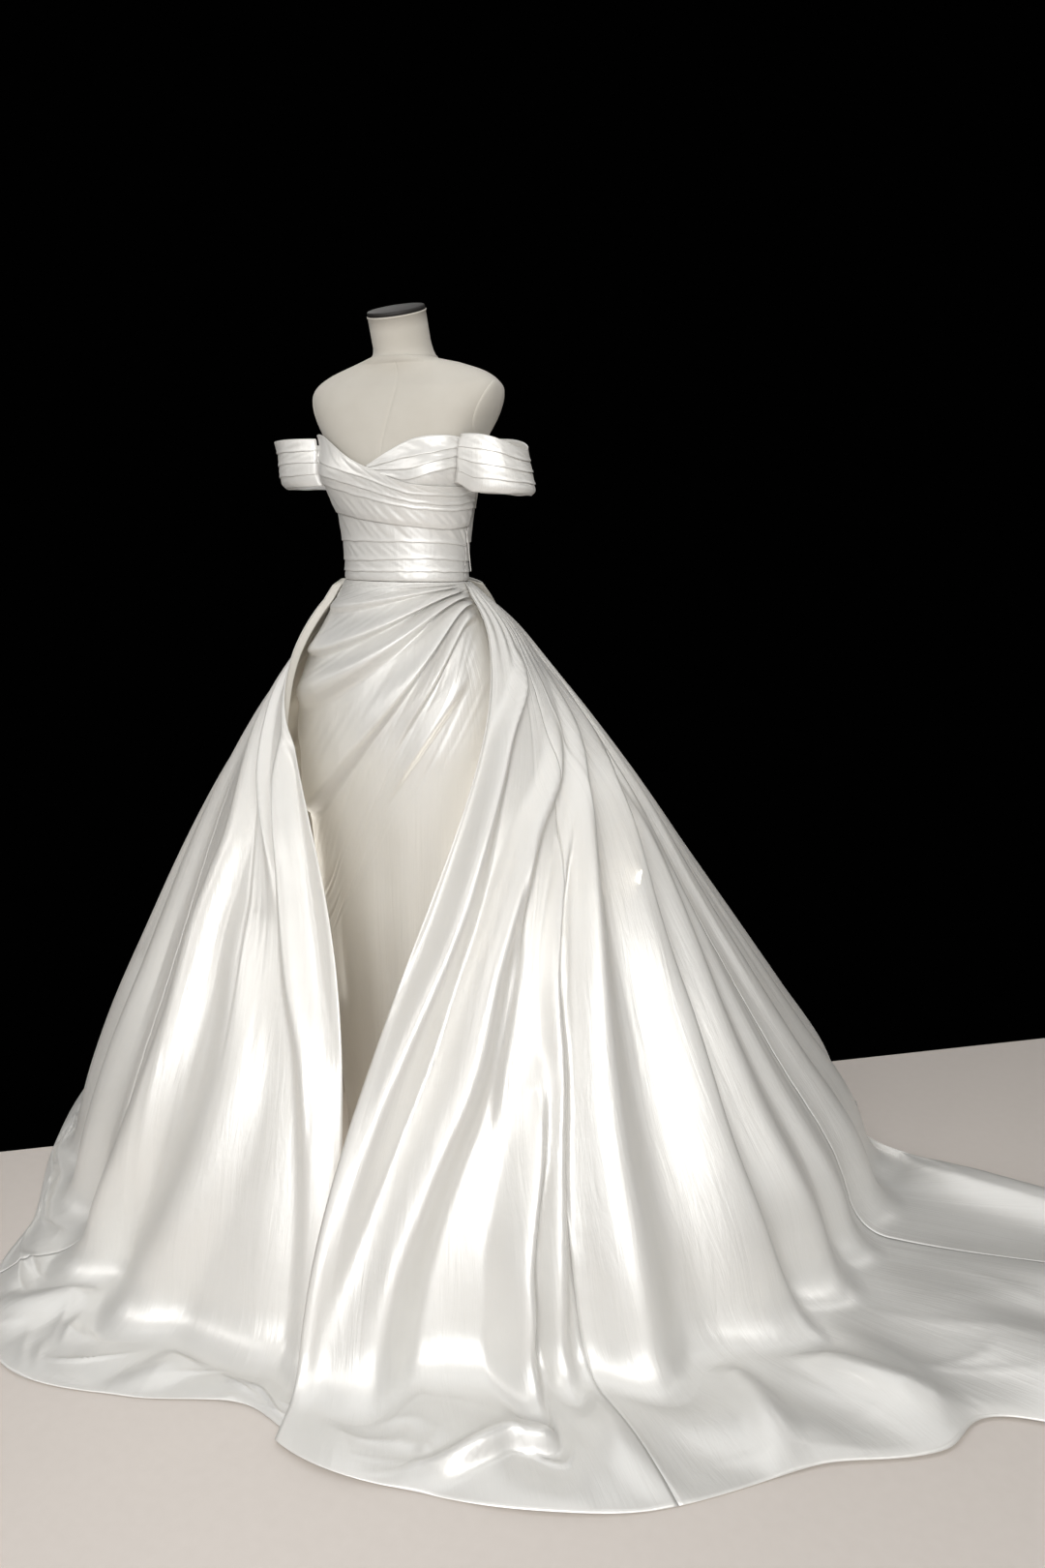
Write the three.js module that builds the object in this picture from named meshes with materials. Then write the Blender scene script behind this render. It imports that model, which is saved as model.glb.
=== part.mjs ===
// A floor-length wedding gown on a limbless dress form: pleated off-shoulder bodice, draped
// column skirt and an overskirt with a train. Millimetres, +Z up, the form faces -Y and its
// left side is +X. The origin is the middle of the underside of the stand's base plate.
// Angles run round the form's axis in degrees: 0 is the front, 90 the left side, 180 the back.
import * as THREE from 'three';

// Driving sizes
const WAIST_Z = 1150;            // height of the seam that both skirts hang from
const CLOTH = 1.6;               // thickness of one wall of satin
const SEAM_GAP = 0.36;           // open line between pieces that are sewn together
const FORM_EASE = 2.8;           // room between the form and the cloth worn on it
const WAIST_SEAT = 0.95;         // and at the waist seam, where it fits tight
const LAYER_GAP = 1.3;           // clearance between one cloth layer and the next
const WAIST_EASE = 0.7;          // overskirt's outer face outside the column's, at the waist seam
const SKIRT_EASE = 7;            // and from a short way below it
const SKIRT_EASE_DEPTH = 12;
const TUCK = 2.2;                // how far a pressed tuck stands out
const TUCK_LIP = 3;              // height of the drop below a tuck's edge
const TUCK_ROOM = 9;             // gap between two lines below which their tucks are smaller
const PLAIN_ROOM = 24;           // gap above which the cloth between two tucks has a row of its own
const FLOOR_REST = 1;            // underside of the cloth that lies on the floor
const FORM_UNDERSIDE = 860;
const POLE_RADIUS = 15;
const BASE_RADIUS = 112;
const BASE_THICK = 20;
const BASE_BEVEL = 5;
const NECK_LEAN = 19;            // degrees that the neck tips forward
const NECK_RADIUS = 53;
const CAP_THICK = 7;

// Finishes
const SATIN = { color: 0xf1f0ec, roughness: 0.38, metalness: 0 };
const LINEN = { color: 0xdcd8cd, roughness: 0.85, metalness: 0 };
const DARK_CAP = { color: 0x3c3734, roughness: 0.5, metalness: 0 };
const STEEL = { color: 0x4a4a4c, roughness: 0.4, metalness: 0.8 };

// The form's body, a row for each level: half width at the side, depth in front and behind, how
// far it is shifted back, and how square its outline is
const BODY = [
  { z: 860, side: 118, front: 78, back: 82, shift: 0, square: 2 },
  { z: 880, side: 160, front: 104, back: 112, shift: 0, square: 2 },
  { z: 965, side: 172, front: 110, back: 124, shift: 0, square: 2 },
  { z: 1060, side: 147, front: 100, back: 104, shift: 0, square: 2 },
  { z: 1120, side: 128, front: 88, back: 88, shift: 0, square: 2 },
  { z: 1165, side: 121, front: 84, back: 84, shift: 0, square: 2 },
  { z: 1215, side: 123, front: 87, back: 86, shift: 0, square: 2 },
  { z: 1265, side: 130, front: 94, back: 92, shift: 0, square: 2 },
  { z: 1315, side: 140, front: 102, back: 97, shift: 0, square: 2 },
  { z: 1345, side: 145, front: 105, back: 99, shift: 0, square: 2.1 },
  { z: 1385, side: 151, front: 104, back: 103, shift: 0, square: 2.2 },
  { z: 1420, side: 165, front: 99, back: 105, shift: 2, square: 2.4 },
  { z: 1460, side: 183, front: 90, back: 103, shift: 5, square: 2.6 },
  { z: 1492, side: 190, front: 77, back: 92, shift: 8, square: 2.6 },
  { z: 1509, side: 182, front: 66, back: 80, shift: 10, square: 2.4 },
  { z: 1525, side: 156, front: 57, back: 68, shift: 11, square: 2.2 },
  { z: 1539, side: 112, front: 54, back: 58, shift: 10, square: 2.1 },
];
const BUST = { z: 1345, angle: 40, stand: 20, halfAngle: 24, halfHeight: 46 };

// The column skirt hanging free of the form, a row for each level
const COLUMN = [
  { z: 1150, side: 124.4, front: 86.4, back: 86.4 },
  { z: 1100, side: 152, front: 110, back: 110 },
  { z: 1021, side: 197, front: 143, back: 145 },
  { z: 960, side: 222, front: 157, back: 160 },
  { z: 855, side: 236, front: 164, back: 166 },
  { z: 787, side: 228, front: 161, back: 162 },
  { z: 609, side: 206, front: 150, back: 150 },
  { z: 468, side: 202, front: 148, back: 146 },
  { z: 305, side: 186, front: 138, back: 136 },
  { z: 134, side: 163, front: 125, back: 122 },
  { z: 10, side: 148, front: 118, back: 118 },
];
const COLUMN_SKIPPED = [468, 134];           // levels that the plain back has no row for

// Folds of the draped front: each runs from the left seam down to the right seam.
// left and right are its heights there, crest how far it stands out, from and to the angles
// between which it shows.
const DRAPE = [
  { left: 1146, right: 1132, crest: 3, from: 80, to: 5 },
  { left: 1141, right: 1103, crest: 7, from: 78, to: -66 },
  { left: 1134, right: 1019, crest: 12, from: 82, to: -64 },
  { left: 1125, right: 942, crest: 15, from: 88, to: -62 },
  { left: 1112, right: 714, crest: 17, from: 88, to: -62 },
  { left: 1092, right: 565, crest: 12, from: 86, to: 12 },
  { left: 1016, right: 490, crest: 8, from: 60, to: 6 },
];
const DRAPE_TURN = { from: 72, to: -50 };    // angles between which a fold runs downhill
const DRAPE_FADE = { from: 22, to: 26 };     // angle over which a fold grows, and fades again
// Levels of the plain cloth below the folds, at the same two seams
const COLUMN_PLAIN = [
  { left: 900, right: 430 },
  { left: 760, right: 410 },
  { left: 600, right: 370 },
  { left: 430, right: 290 },
  { left: 240, right: 170 },
  { left: 10, right: 10 },
];

// Overskirt: how far it stands from the axis, a row for each level and a column for each side
const OVERSKIRT = [
  { z: 1150, right: 124, front: 86, left: 124, back: 86 },
  { z: 1075, right: 170, front: 148, left: 204, back: 188 },
  { z: 1000, right: 218, front: 200, left: 262, back: 260 },
  { z: 900, right: 278, front: 262, left: 338, back: 345 },
  { z: 750, right: 361, front: 350, left: 450, back: 458 },
  { z: 600, right: 435, front: 434, left: 550, back: 555 },
  { z: 450, right: 503, front: 516, left: 655, back: 640 },
  { z: 300, right: 568, front: 590, left: 762, back: 712 },
  { z: 150, right: 620, front: 656, left: 872, back: 765 },
  { z: 0, right: 656, front: 714, left: 930, back: 805 },
];
const SIDE_ANGLE = { right: -45, front: 20, left: 98, back: 190 };
// Opening in front: angle of each front edge at the waist and at the hem, and how soon below
// the waist it swings forward
const EDGE_RIGHT = { waist: -82, hem: 20, swing: 4.2 };
const EDGE_LEFT = { waist: 88, hem: 17, swing: 2.4 };
// The left front lies over the right one, more so towards the floor
const EDGE_LAP = { width: 0.035, height: 420, apart: 20, quick: 1.6 };

// Hem on the floor, distance from the axis by angle
const HEM = [
  { angle: -150, reach: 980 }, { angle: -120, reach: 910 }, { angle: -90, reach: 820 },
  { angle: -70, reach: 760 }, { angle: -55, reach: 740 }, { angle: -38, reach: 755 },
  { angle: -29, reach: 830 }, { angle: -14, reach: 907 }, { angle: 0, reach: 850 },
  { angle: 12, reach: 806 }, { angle: 20, reach: 862 }, { angle: 28, reach: 922 },
  { angle: 45, reach: 1030 }, { angle: 60, reach: 1092 }, { angle: 68, reach: 1190 },
  { angle: 74, reach: 1235 }, { angle: 79, reach: 1520 }, { angle: 84, reach: 1800 },
  { angle: 90, reach: 1880 }, { angle: 96, reach: 1800 }, { angle: 101, reach: 1480 },
  { angle: 106, reach: 1110 }, { angle: 111, reach: 950 }, { angle: 130, reach: 940 },
  { angle: 155, reach: 1010 }, { angle: 180, reach: 1030 },
];

// Folds of the overskirt. place runs from 0 at the right front edge, round the back, to 1 at
// the left front edge. drift is how far the fold wanders by the hem, half its half width, and
// waist, hip and hem how far it stands out there. heap is the height of the cloth that gathers
// on the floor beside it.
const FOLDS = [
  { place: 0.004, drift: 0.006, half: 0.021, waist: 0, hip: 18, hem: 28, heap: 5 },
  { place: 0.052, drift: 0.010, half: 0.024, waist: 3, hip: 14, hem: 34, heap: 7 },
  { place: 0.104, drift: 0.014, half: 0.026, waist: 4, hip: 17, hem: 40, heap: 9 },
  { place: 0.160, drift: 0.006, half: 0.025, waist: 3, hip: 14, hem: 36, heap: 12 },
  { place: 0.214, drift: -0.004, half: 0.028, waist: 4, hip: 19, hem: 44, heap: 9 },
  { place: 0.272, drift: 0.004, half: 0.026, waist: 3, hip: 15, hem: 38, heap: 14 },
  { place: 0.330, drift: 0.008, half: 0.029, waist: 4, hip: 21, hem: 48, heap: 11 },
  { place: 0.390, drift: -0.006, half: 0.027, waist: 4, hip: 17, hem: 42, heap: 17 },
  { place: 0.448, drift: 0.004, half: 0.030, waist: 4, hip: 24, hem: 54, heap: 13 },
  { place: 0.508, drift: -0.004, half: 0.028, waist: 4, hip: 20, hem: 46, heap: 18 },
  { place: 0.566, drift: 0.006, half: 0.027, waist: 4, hip: 18, hem: 44, heap: 14 },
  { place: 0.620, drift: 0.002, half: 0.025, waist: 4, hip: 20, hem: 46, heap: 20 },
  { place: 0.670, drift: -0.004, half: 0.023, waist: 4, hip: 17, hem: 40, heap: 16 },
  { place: 0.714, drift: 0.003, half: 0.020, waist: 4, hip: 19, hem: 42, heap: 24 },
  { place: 0.752, drift: 0.002, half: 0.017, waist: 4, hip: 16, hem: 34, heap: 34 },
  { place: 0.782, drift: -0.002, half: 0.015, waist: 4, hip: 16, hem: 32, heap: 46 },
  { place: 0.810, drift: 0.001, half: 0.014, waist: 4, hip: 15, hem: 30, heap: 38 },
  { place: 0.838, drift: -0.003, half: 0.015, waist: 4, hip: 18, hem: 34, heap: 30 },
  { place: 0.868, drift: -0.004, half: 0.016, waist: 4, hip: 21, hem: 38, heap: 20 },
  { place: 0.901, drift: -0.002, half: 0.016, waist: 4, hip: 23, hem: 30, heap: 12 },
  { place: 0.934, drift: 0.002, half: 0.015, waist: 3, hip: 17, hem: 34, heap: 14 },
  { place: 0.966, drift: 0.000, half: 0.014, waist: 3, hip: 22, hem: 30, heap: 9 },
  { place: 0.995, drift: 0.002, half: 0.014, waist: 0, hip: 20, hem: 24, heap: 4 },
];
const HIP_DOWN = 0.22;           // depth of the hip below the waist seam, of the whole height

// Gores, by the place of their seams
const GORES = [
  { name: 'overskirt_right_front', from: 0, to: 0.132 },
  { name: 'overskirt_right_side', from: 0.132, to: 0.301 },
  { name: 'overskirt_back_right', from: 0.301, to: 0.478 },
  { name: 'overskirt_back_left', from: 0.478, to: 0.645 },
  { name: 'overskirt_train', from: 0.645, to: 0.796 },
  { name: 'overskirt_left_side', from: 0.796, to: 0.911 },
  { name: 'overskirt_left_front', from: 0.911, to: 1 },
];
const WALL_LEVELS = [1150, 1138, 1110, 1050, 970, 870, 740, 590, 430, 270, 140, 60];
const TURN_STEPS = [0.5, 1];                 // rows of the turn from wall to floor
const FLOOR_STEPS = [0.22, 0.5, 0.78, 1];    // rows of the cloth on the floor
const TURN_Z = 60;
const SLOPE_SPAN = 100;                      // height over which the wall's slope is taken
const TURN_REACH = 48;                       // longest reach of the turn along the floor
const TURN_SHARE = 0.6;                      // of the cloth that runs out past the wall's foot
const FLOOR_LEAST = 22;                      // shortest length of cloth on the floor
const HEAP_SLANT = 0.7;                      // how far the heaps on the floor run aslant
const HEAP_TURN = 2.4;                       // and how that changes from one heap to the next
const HEAP_WIDTH = 0.62;                     // half width of a heap beside the gap between folds
const HEAP_END = 0.92;                       // where a heap falls off beside the hem
// Where the left front lies on the right one: lifted, and longer at the hem
const LAP_LIFT = { from: 0.96, over: 0.03, height: 5, reach: 26 };

// Lines of the bodice: heights at stations round the form
const FRONT_STATIONS = [-90, -45, -10, 25, 60, 90];
const WRAP_LINES = [
  { name: 'low', at: [1282, 1272, 1260, 1250, 1245, 1251] },
  { name: 'third', at: [1344, 1324, 1302, 1283, 1278, 1285] },
  { name: 'second', at: [1362, 1342, 1318, 1294, 1288, 1297] },
  { name: 'first', at: [1386, 1366, 1338, 1308, 1304, 1310] },
  { name: 'top', at: [1398, 1413, 1361, 1324, 1319, 1322] },
];
const CUP_LINES = [
  { name: 'low', at: [1345, 1330, 1314, 1310, 1309, 1312] },
  { name: 'third', at: [1347, 1337, 1331, 1346, 1355, 1351] },
  { name: 'second', at: [1349, 1348, 1350, 1364, 1374, 1371] },
  { name: 'first', at: [1351, 1361, 1370, 1380, 1388, 1388] },
  { name: 'top', at: [1354, 1380, 1401, 1407, 1404, 1401] },
];
const CUP_STATIONS = [-5, 10, 25, 45, 65, 90];
const MIDRIFF_LINES = [
  { name: 'low', at: [1150.4, 1150.4, 1150.4, 1150.4, 1150.4, 1150.4] },
  { name: 'waist', at: [1168, 1168, 1169, 1170, 1170, 1168] },
  { name: 'second', at: [1189, 1188, 1189, 1193, 1192, 1188] },
  { name: 'first', at: [1225, 1224, 1223, 1223, 1221, 1216] },
  { name: 'top', at: [1290, 1280, 1268, 1258, 1253, 1259] },
];
const BACK_LINES = [
  { name: 'low', at: [1150.4, 1150.4, 1150.4] },
  { name: 'waist', at: [1168, 1169, 1170] },
  { name: 'fifth', at: [1189, 1190, 1192] },
  { name: 'fourth', at: [1222, 1224, 1226] },
  { name: 'third', at: [1284, 1286, 1288] },
  { name: 'second', at: [1318, 1318, 1318] },
  { name: 'first', at: [1356, 1354, 1352] },
  { name: 'top', at: [1400, 1394, 1390] },
];
const BACK_STATIONS = { left: [90, 135, 180], right: [180, 225, 270] };

// Off-shoulder sleeve bands: from and to are the angles where a band leaves and meets the bodice,
// seat how far outside the form it lies there, swell how much further it stands away between
// them, flare how much further out its lower edge stands, and topDrop and bottomDrop how far its
// edges fall at the side.
const SLEEVE_LEFT = {
  from: 60, to: 121, seat: 10, swell: 81, flare: 34, top: 1410, topDrop: 24, bottom: 1312, bottomDrop: 6,
};
const SLEEVE_RIGHT = {
  from: 60, to: 121, seat: 11.5, swell: 106, flare: 8, top: 1408, topDrop: 4, bottom: 1322, bottomDrop: 4,
};
const SLEEVE_TUCKS = 3;
const SLEEVE_LIP = 0.035;        // height of the drop below a tuck's edge, of the band's height
const SLEEVE_RISE = 0.12;        // and of the slope above it

// Bow at the middle of the back waist. pinch is how much shorter a loop is at its edges, and open
// how wide it stands at the knot beside its far end.
const BOW = {
  z: 1138, height: 74, span: 106, depth: 17, knotWidth: 34, clear: 0.5, pinch: 0.12, open: 0.35,
  droop: 36,                     // how far the end of a loop hangs down
  seat: 96, slope: 1.15,         // distance behind the axis, and how it follows the skirt down
};

const RADIANS = Math.PI / 180;
const clamp = (x, low, high) => Math.min(high, Math.max(low, x));
const mix = (a, b, k) => a + (b - a) * k;
const ease = (k) => { const c = clamp(k, 0, 1); return c * c * (3 - 2 * c); };
const swell = (x) => (Math.abs(x) >= 1 ? 0 : (1 + Math.cos(Math.PI * x)) / 2);

// Value of a named column at a level, straight between rows
function levelValue(table, z, column) {
  const upright = table[0].z > table[table.length - 1].z ? [...table].reverse() : table;
  if (z <= upright[0].z) return upright[0][column];
  for (let i = 1; i < upright.length; i += 1) {
    const low = upright[i - 1];
    const high = upright[i];
    if (z <= high.z) return mix(low[column], high[column], (z - low.z) / (high.z - low.z));
  }
  return upright[upright.length - 1][column];
}

// Smooth value through stations
function stationValue(stations, values, x) {
  const last = stations.length - 1;
  let i = 0;
  while (i < last - 1 && x > stations[i + 1]) i += 1;
  const span = stations[i + 1] - stations[i];
  const k = clamp((x - stations[i]) / span, 0, 1);
  const slopeAt = (j) => {
    const a = Math.max(j - 1, 0);
    const b = Math.min(j + 1, last);
    return (values[b] - values[a]) / (stations[b] - stations[a]);
  };
  const k2 = k * k;
  const k3 = k2 * k;
  return values[i] * (2 * k3 - 3 * k2 + 1) + values[i + 1] * (3 * k2 - 2 * k3)
    + span * (slopeAt(i) * (k3 - 2 * k2 + k) + slopeAt(i + 1) * (k3 - k2));
}

// A point of the form's skin, or a layer outside it
function bodyPoint(angle, z, off = 0) {
  const side = levelValue(BODY, z, 'side');
  const shift = levelValue(BODY, z, 'shift');
  const power = 2 / levelValue(BODY, z, 'square');
  const sine = Math.sin(angle * RADIANS);
  const cosine = Math.cos(angle * RADIANS);
  const depth = levelValue(BODY, z, cosine > 0 ? 'front' : 'back');
  let stand = 0;
  for (const hand of [-1, 1]) {
    const across = (angle - hand * BUST.angle) / BUST.halfAngle;
    const up = (z - BUST.z) / BUST.halfHeight;
    stand += BUST.stand * Math.exp(-across * across - up * up);
  }
  const x = (side + off) * Math.sign(sine) * Math.abs(sine) ** power + stand * sine;
  const y = -(depth + off) * Math.sign(cosine) * Math.abs(cosine) ** power - stand * cosine;
  return new THREE.Vector3(x, y + shift, z);
}

// A closed wall between an outer and an inner face. Both are functions of a column and a row
// value. A ring closes on itself across its columns.
function wallGeometry(outer, inner, columns, rows, ring = false) {
  const across = columns.length;
  const down = rows.length;
  const points = [];
  for (const face of [outer, inner]) {
    for (const column of columns) {
      for (const row of rows) points.push(...face(column, row).toArray());
    }
  }
  const index = [];
  const at = (face, i, j) => face * across * down + (i % across) * down + j;
  const quad = (a, b, c, d) => index.push(a, b, c, a, c, d);
  const lastColumn = ring ? across : across - 1;
  for (let i = 0; i < lastColumn; i += 1) {
    for (let j = 0; j < down - 1; j += 1) {
      quad(at(0, i, j), at(0, i, j + 1), at(0, i + 1, j + 1), at(0, i + 1, j));
      quad(at(1, i, j), at(1, i + 1, j), at(1, i + 1, j + 1), at(1, i, j + 1));
    }
    quad(at(0, i, 0), at(0, i + 1, 0), at(1, i + 1, 0), at(1, i, 0));
    quad(at(0, i, down - 1), at(1, i, down - 1), at(1, i + 1, down - 1), at(0, i + 1, down - 1));
  }
  if (!ring) {
    for (let j = 0; j < down - 1; j += 1) {
      const end = across - 1;
      quad(at(0, 0, j), at(1, 0, j), at(1, 0, j + 1), at(0, 0, j + 1));
      quad(at(0, end, j), at(0, end, j + 1), at(1, end, j + 1), at(1, end, j));
    }
  }
  const geometry = new THREE.BufferGeometry();
  geometry.setAttribute('position', new THREE.Float32BufferAttribute(points, 3));
  geometry.setIndex(index);
  return geometry;
}

// A closed solid through rings of points, with flat ends
function ringSolid(rings) {
  const around = rings[0].length;
  const points = rings.flat().flatMap((p) => p.toArray());
  const index = [];
  for (let j = 0; j < rings.length - 1; j += 1) {
    for (let i = 0; i < around; i += 1) {
      const a = j * around + i;
      const b = j * around + ((i + 1) % around);
      index.push(a, b, b + around, a, b + around, a + around);
    }
  }
  const capEnd = (ring, first, upward) => {
    const middle = ring.reduce((sum, p) => sum.add(p), new THREE.Vector3()).divideScalar(around);
    const centre = points.length / 3;
    points.push(...middle.toArray());
    for (let i = 0; i < around; i += 1) {
      const a = first + i;
      const b = first + ((i + 1) % around);
      if (upward) index.push(a, b, centre);
      else index.push(b, a, centre);
    }
  };
  capEnd(rings[0], 0, false);
  capEnd(rings[rings.length - 1], (rings.length - 1) * around, true);
  const geometry = new THREE.BufferGeometry();
  geometry.setAttribute('position', new THREE.Float32BufferAttribute(points, 3));
  geometry.setIndex(index);
  return geometry;
}

// Turns a closed surface so that its faces point out of the solid
function faceOutwards(geometry) {
  const position = geometry.getAttribute('position');
  const index = geometry.getIndex();
  const corner = [0, 1, 2].map(() => new THREE.Vector3());
  let volume = 0;
  for (let i = 0; i < index.count; i += 3) {
    corner.forEach((p, k) => p.fromBufferAttribute(position, index.getX(i + k)));
    volume += corner[0].dot(corner[1].clone().cross(corner[2]));
  }
  if (volume > 0) return;
  for (let i = 0; i < index.count; i += 3) {
    const second = index.getX(i + 1);
    index.setX(i + 1, index.getX(i + 2));
    index.setX(i + 2, second);
  }
}

const gown = new THREE.Group();
function addPiece(name, geometry, finish) {
  if (geometry.getIndex()) faceOutwards(geometry);
  geometry.computeVertexNormals();
  const piece = new THREE.Mesh(geometry, new THREE.MeshStandardMaterial(finish));
  piece.name = name;
  gown.add(piece);
  return piece;
}

// Even steps from one value to another, both ends included
function steps(from, to, count) {
  return Array.from({ length: count + 1 }, (_, i) => mix(from, to, i / count));
}

// Dress form: body with its neck, dark cap, pole and base plate
const NECK_FOOT = new THREE.Vector3(0, 6, 1546);
const NECK_LENGTH = 84;
const NECK_BEND = 30;            // height over which the neck comes to its full lean
function neckRing(up, radius, around) {
  const lean = NECK_LEAN * RADIANS * clamp(up / NECK_BEND, 0, 1);
  const axis = new THREE.Vector3(0, -Math.sin(NECK_LEAN * RADIANS), Math.cos(NECK_LEAN * RADIANS));
  const middle = NECK_FOOT.clone().addScaledVector(axis, up);
  return around.map((angle) => {
    const x = radius * Math.sin(angle * RADIANS);
    const y = -radius * Math.cos(angle * RADIANS);
    return new THREE.Vector3(x, y * Math.cos(lean), y * Math.sin(lean)).add(middle);
  });
}
function addForm() {
  const around = steps(0, 360, 28).slice(0, -1);
  const levels = [...BODY.map((row) => row.z), 1010, 1090, 1290, 1330, 1365];
  levels.sort((a, b) => a - b);
  const rings = levels.map((z) => around.map((angle) => bodyPoint(angle, z)));
  rings.push(neckRing(6, 62, around), neckRing(16, 55.5, around));
  rings.push(neckRing(30, NECK_RADIUS, around), neckRing(NECK_LENGTH, NECK_RADIUS, around));
  addPiece('form_body', ringSolid(rings), LINEN);
  const cap = [0, 1, CAP_THICK - 1.5, CAP_THICK].map((up, i) => {
    const radius = NECK_RADIUS - [1.2, 0.2, 0.2, 2][i];
    return neckRing(NECK_LENGTH + SEAM_GAP + up, radius, around);
  });
  addPiece('form_neck_cap', ringSolid(cap), DARK_CAP);
  const pole = new THREE.CylinderGeometry(POLE_RADIUS, POLE_RADIUS, 1, 24);
  const poleFoot = BASE_THICK + SEAM_GAP;
  const poleTop = FORM_UNDERSIDE - SEAM_GAP;
  pole.rotateX(Math.PI / 2);
  pole.scale(1, 1, poleTop - poleFoot);
  pole.translate(0, 0, (poleTop + poleFoot) / 2);
  addPiece('stand_pole', pole, STEEL);
  const plate = [
    new THREE.Vector2(0, 0),
    new THREE.Vector2(BASE_RADIUS, 0),
    new THREE.Vector2(BASE_RADIUS, BASE_THICK - BASE_BEVEL),
    new THREE.Vector2(BASE_RADIUS - BASE_BEVEL, BASE_THICK),
    new THREE.Vector2(0, BASE_THICK),
  ];
  const base = new THREE.LatheGeometry(plate, 32);
  base.rotateX(Math.PI / 2);
  addPiece('stand_base', base, STEEL);
}

// A pleated panel of the bodice between its lowest and highest line. Each line between them is
// the pressed edge of a tuck: the cloth stands out above it and drops back below it. The lowest
// line is drawn in by the last argument.
function pleatedPanel(lines, stations, angles, off, drawn = 0) {
  const rows = [];
  lines.forEach((line, k) => {
    if (k === 0) rows.push({ k, up: 0, stand: -drawn / TUCK });
    else if (k === lines.length - 1) rows.push({ k, up: 0, stand: 0.35 });
    else {
      rows.push({ k, up: -TUCK_LIP, stand: 0 });
      rows.push({ k, up: 0, stand: 1 });
    }
    const next = lines[k + 1];
    const widest = next ? Math.max(...next.at.map((z, i) => z - line.at[i])) : 0;
    if (widest > PLAIN_ROOM) rows.push({ k, mid: 0.5, stand: 0.15 });
  });
  const face = (layer) => (angle, row) => {
    let z = stationValue(stations, lines[row.k].at, angle);
    const below = row.k > 0 ? stationValue(stations, lines[row.k - 1].at, angle) : z - TUCK_ROOM;
    const size = clamp((z - below) / TUCK_ROOM, 0.12, 1);
    if (row.mid) z = mix(z, stationValue(stations, lines[row.k + 1].at, angle), row.mid);
    else z += row.up * size;
    return bodyPoint(angle, z, off + layer + TUCK * row.stand * size);
  };
  return wallGeometry(face(CLOTH), face(0), angles, rows);
}

const UNDER_LAYER = FORM_EASE;
const OVER_LAYER = UNDER_LAYER + CLOTH + TUCK + LAYER_GAP;
const SEAM_ANGLE = 0.09;         // degrees that clear a seam at the side or the back
const WRAP_DRAWN = 1.8;          // how far the lower edge of the band is drawn onto the midriff
const WAIST_DRAWN = FORM_EASE - WAIST_SEAT;
const CUP_START = -5;            // angle where the cup comes out from under the band
function addBodice() {
  const sideLeft = 90 - SEAM_ANGLE;
  const sideRight = -90 + SEAM_ANGLE;
  const front = steps(sideRight, sideLeft, 18);
  const midriff = pleatedPanel(MIDRIFF_LINES, FRONT_STATIONS, front, UNDER_LAYER, WAIST_DRAWN);
  addPiece('midriff_front', midriff, SATIN);
  const overRight = [...steps(sideRight, -56, 3), ...steps(-48, 0, 6)];
  const overLeft = [...steps(9, 36, 3), ...steps(46, 78, 3), sideLeft];
  const across = [...overRight, ...overLeft];
  const band = pleatedPanel(WRAP_LINES, FRONT_STATIONS, across, OVER_LAYER, WRAP_DRAWN);
  addPiece('bust_wrap', band, SATIN);
  const cup = pleatedPanel(CUP_LINES, CUP_STATIONS, steps(CUP_START, sideLeft, 12), UNDER_LAYER);
  addPiece('cup_left', cup, SATIN);
  const mirrored = BACK_LINES.map((line) => ({ ...line, at: [...line.at].reverse() }));
  const backs = [
    { name: 'bodice_back_left', lines: BACK_LINES, stations: BACK_STATIONS.left },
    { name: 'bodice_back_right', lines: mirrored, stations: BACK_STATIONS.right },
  ];
  for (const { name, lines, stations } of backs) {
    const angles = steps(stations[0] + SEAM_ANGLE, stations[2] - SEAM_ANGLE, 7);
    addPiece(name, pleatedPanel(lines, stations, angles, UNDER_LAYER, WAIST_DRAWN), SATIN);
  }
}

// An off-shoulder band: from the front of the armhole, out round the arm's place, to its back
function sleeveGeometry(hand, band) {
  const rows = [{ up: 0, stand: 0 }];
  for (let k = 1; k <= SLEEVE_TUCKS; k += 1) {
    const up = k / (SLEEVE_TUCKS + 1);
    rows.push({ up: up - SLEEVE_LIP, stand: 0 }, { up, stand: 1 });
    rows.push({ up: up + SLEEVE_RISE, stand: 0.2 });
  }
  rows.push({ up: 1, stand: 0.3 });
  const face = (layer) => (along, row) => {
    const out = Math.sin(Math.PI * along) ** 0.75;
    const bottom = band.bottom - band.bottomDrop * out;
    const top = band.top - band.topDrop * out ** 3;
    const z = mix(bottom, top, row.up);
    const off = band.seat + band.swell * out + band.flare * out * (1 - row.up) + layer;
    const point = bodyPoint(mix(band.from, band.to, along), z, off + TUCK * row.stand);
    point.x *= hand;
    return point;
  };
  const stations = [0, 0.03, 0.08, 0.15, 0.23, 0.32, 0.41, 0.5, 0.59, 0.68, 0.77, 0.85, 0.92, 0.97, 1];
  const columns = hand > 0 ? stations : stations.reverse();
  return wallGeometry(face(CLOTH), face(0), columns, rows);
}

// Column skirt: the front drapes from the left waist, the back is plain
function columnPoint(angle, z, off) {
  const side = levelValue(COLUMN, z, 'side') + off;
  const depth = levelValue(COLUMN, z, Math.cos(angle * RADIANS) > 0 ? 'front' : 'back') + off;
  return new THREE.Vector3(side * Math.sin(angle * RADIANS), -depth * Math.cos(angle * RADIANS), z);
}
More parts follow.
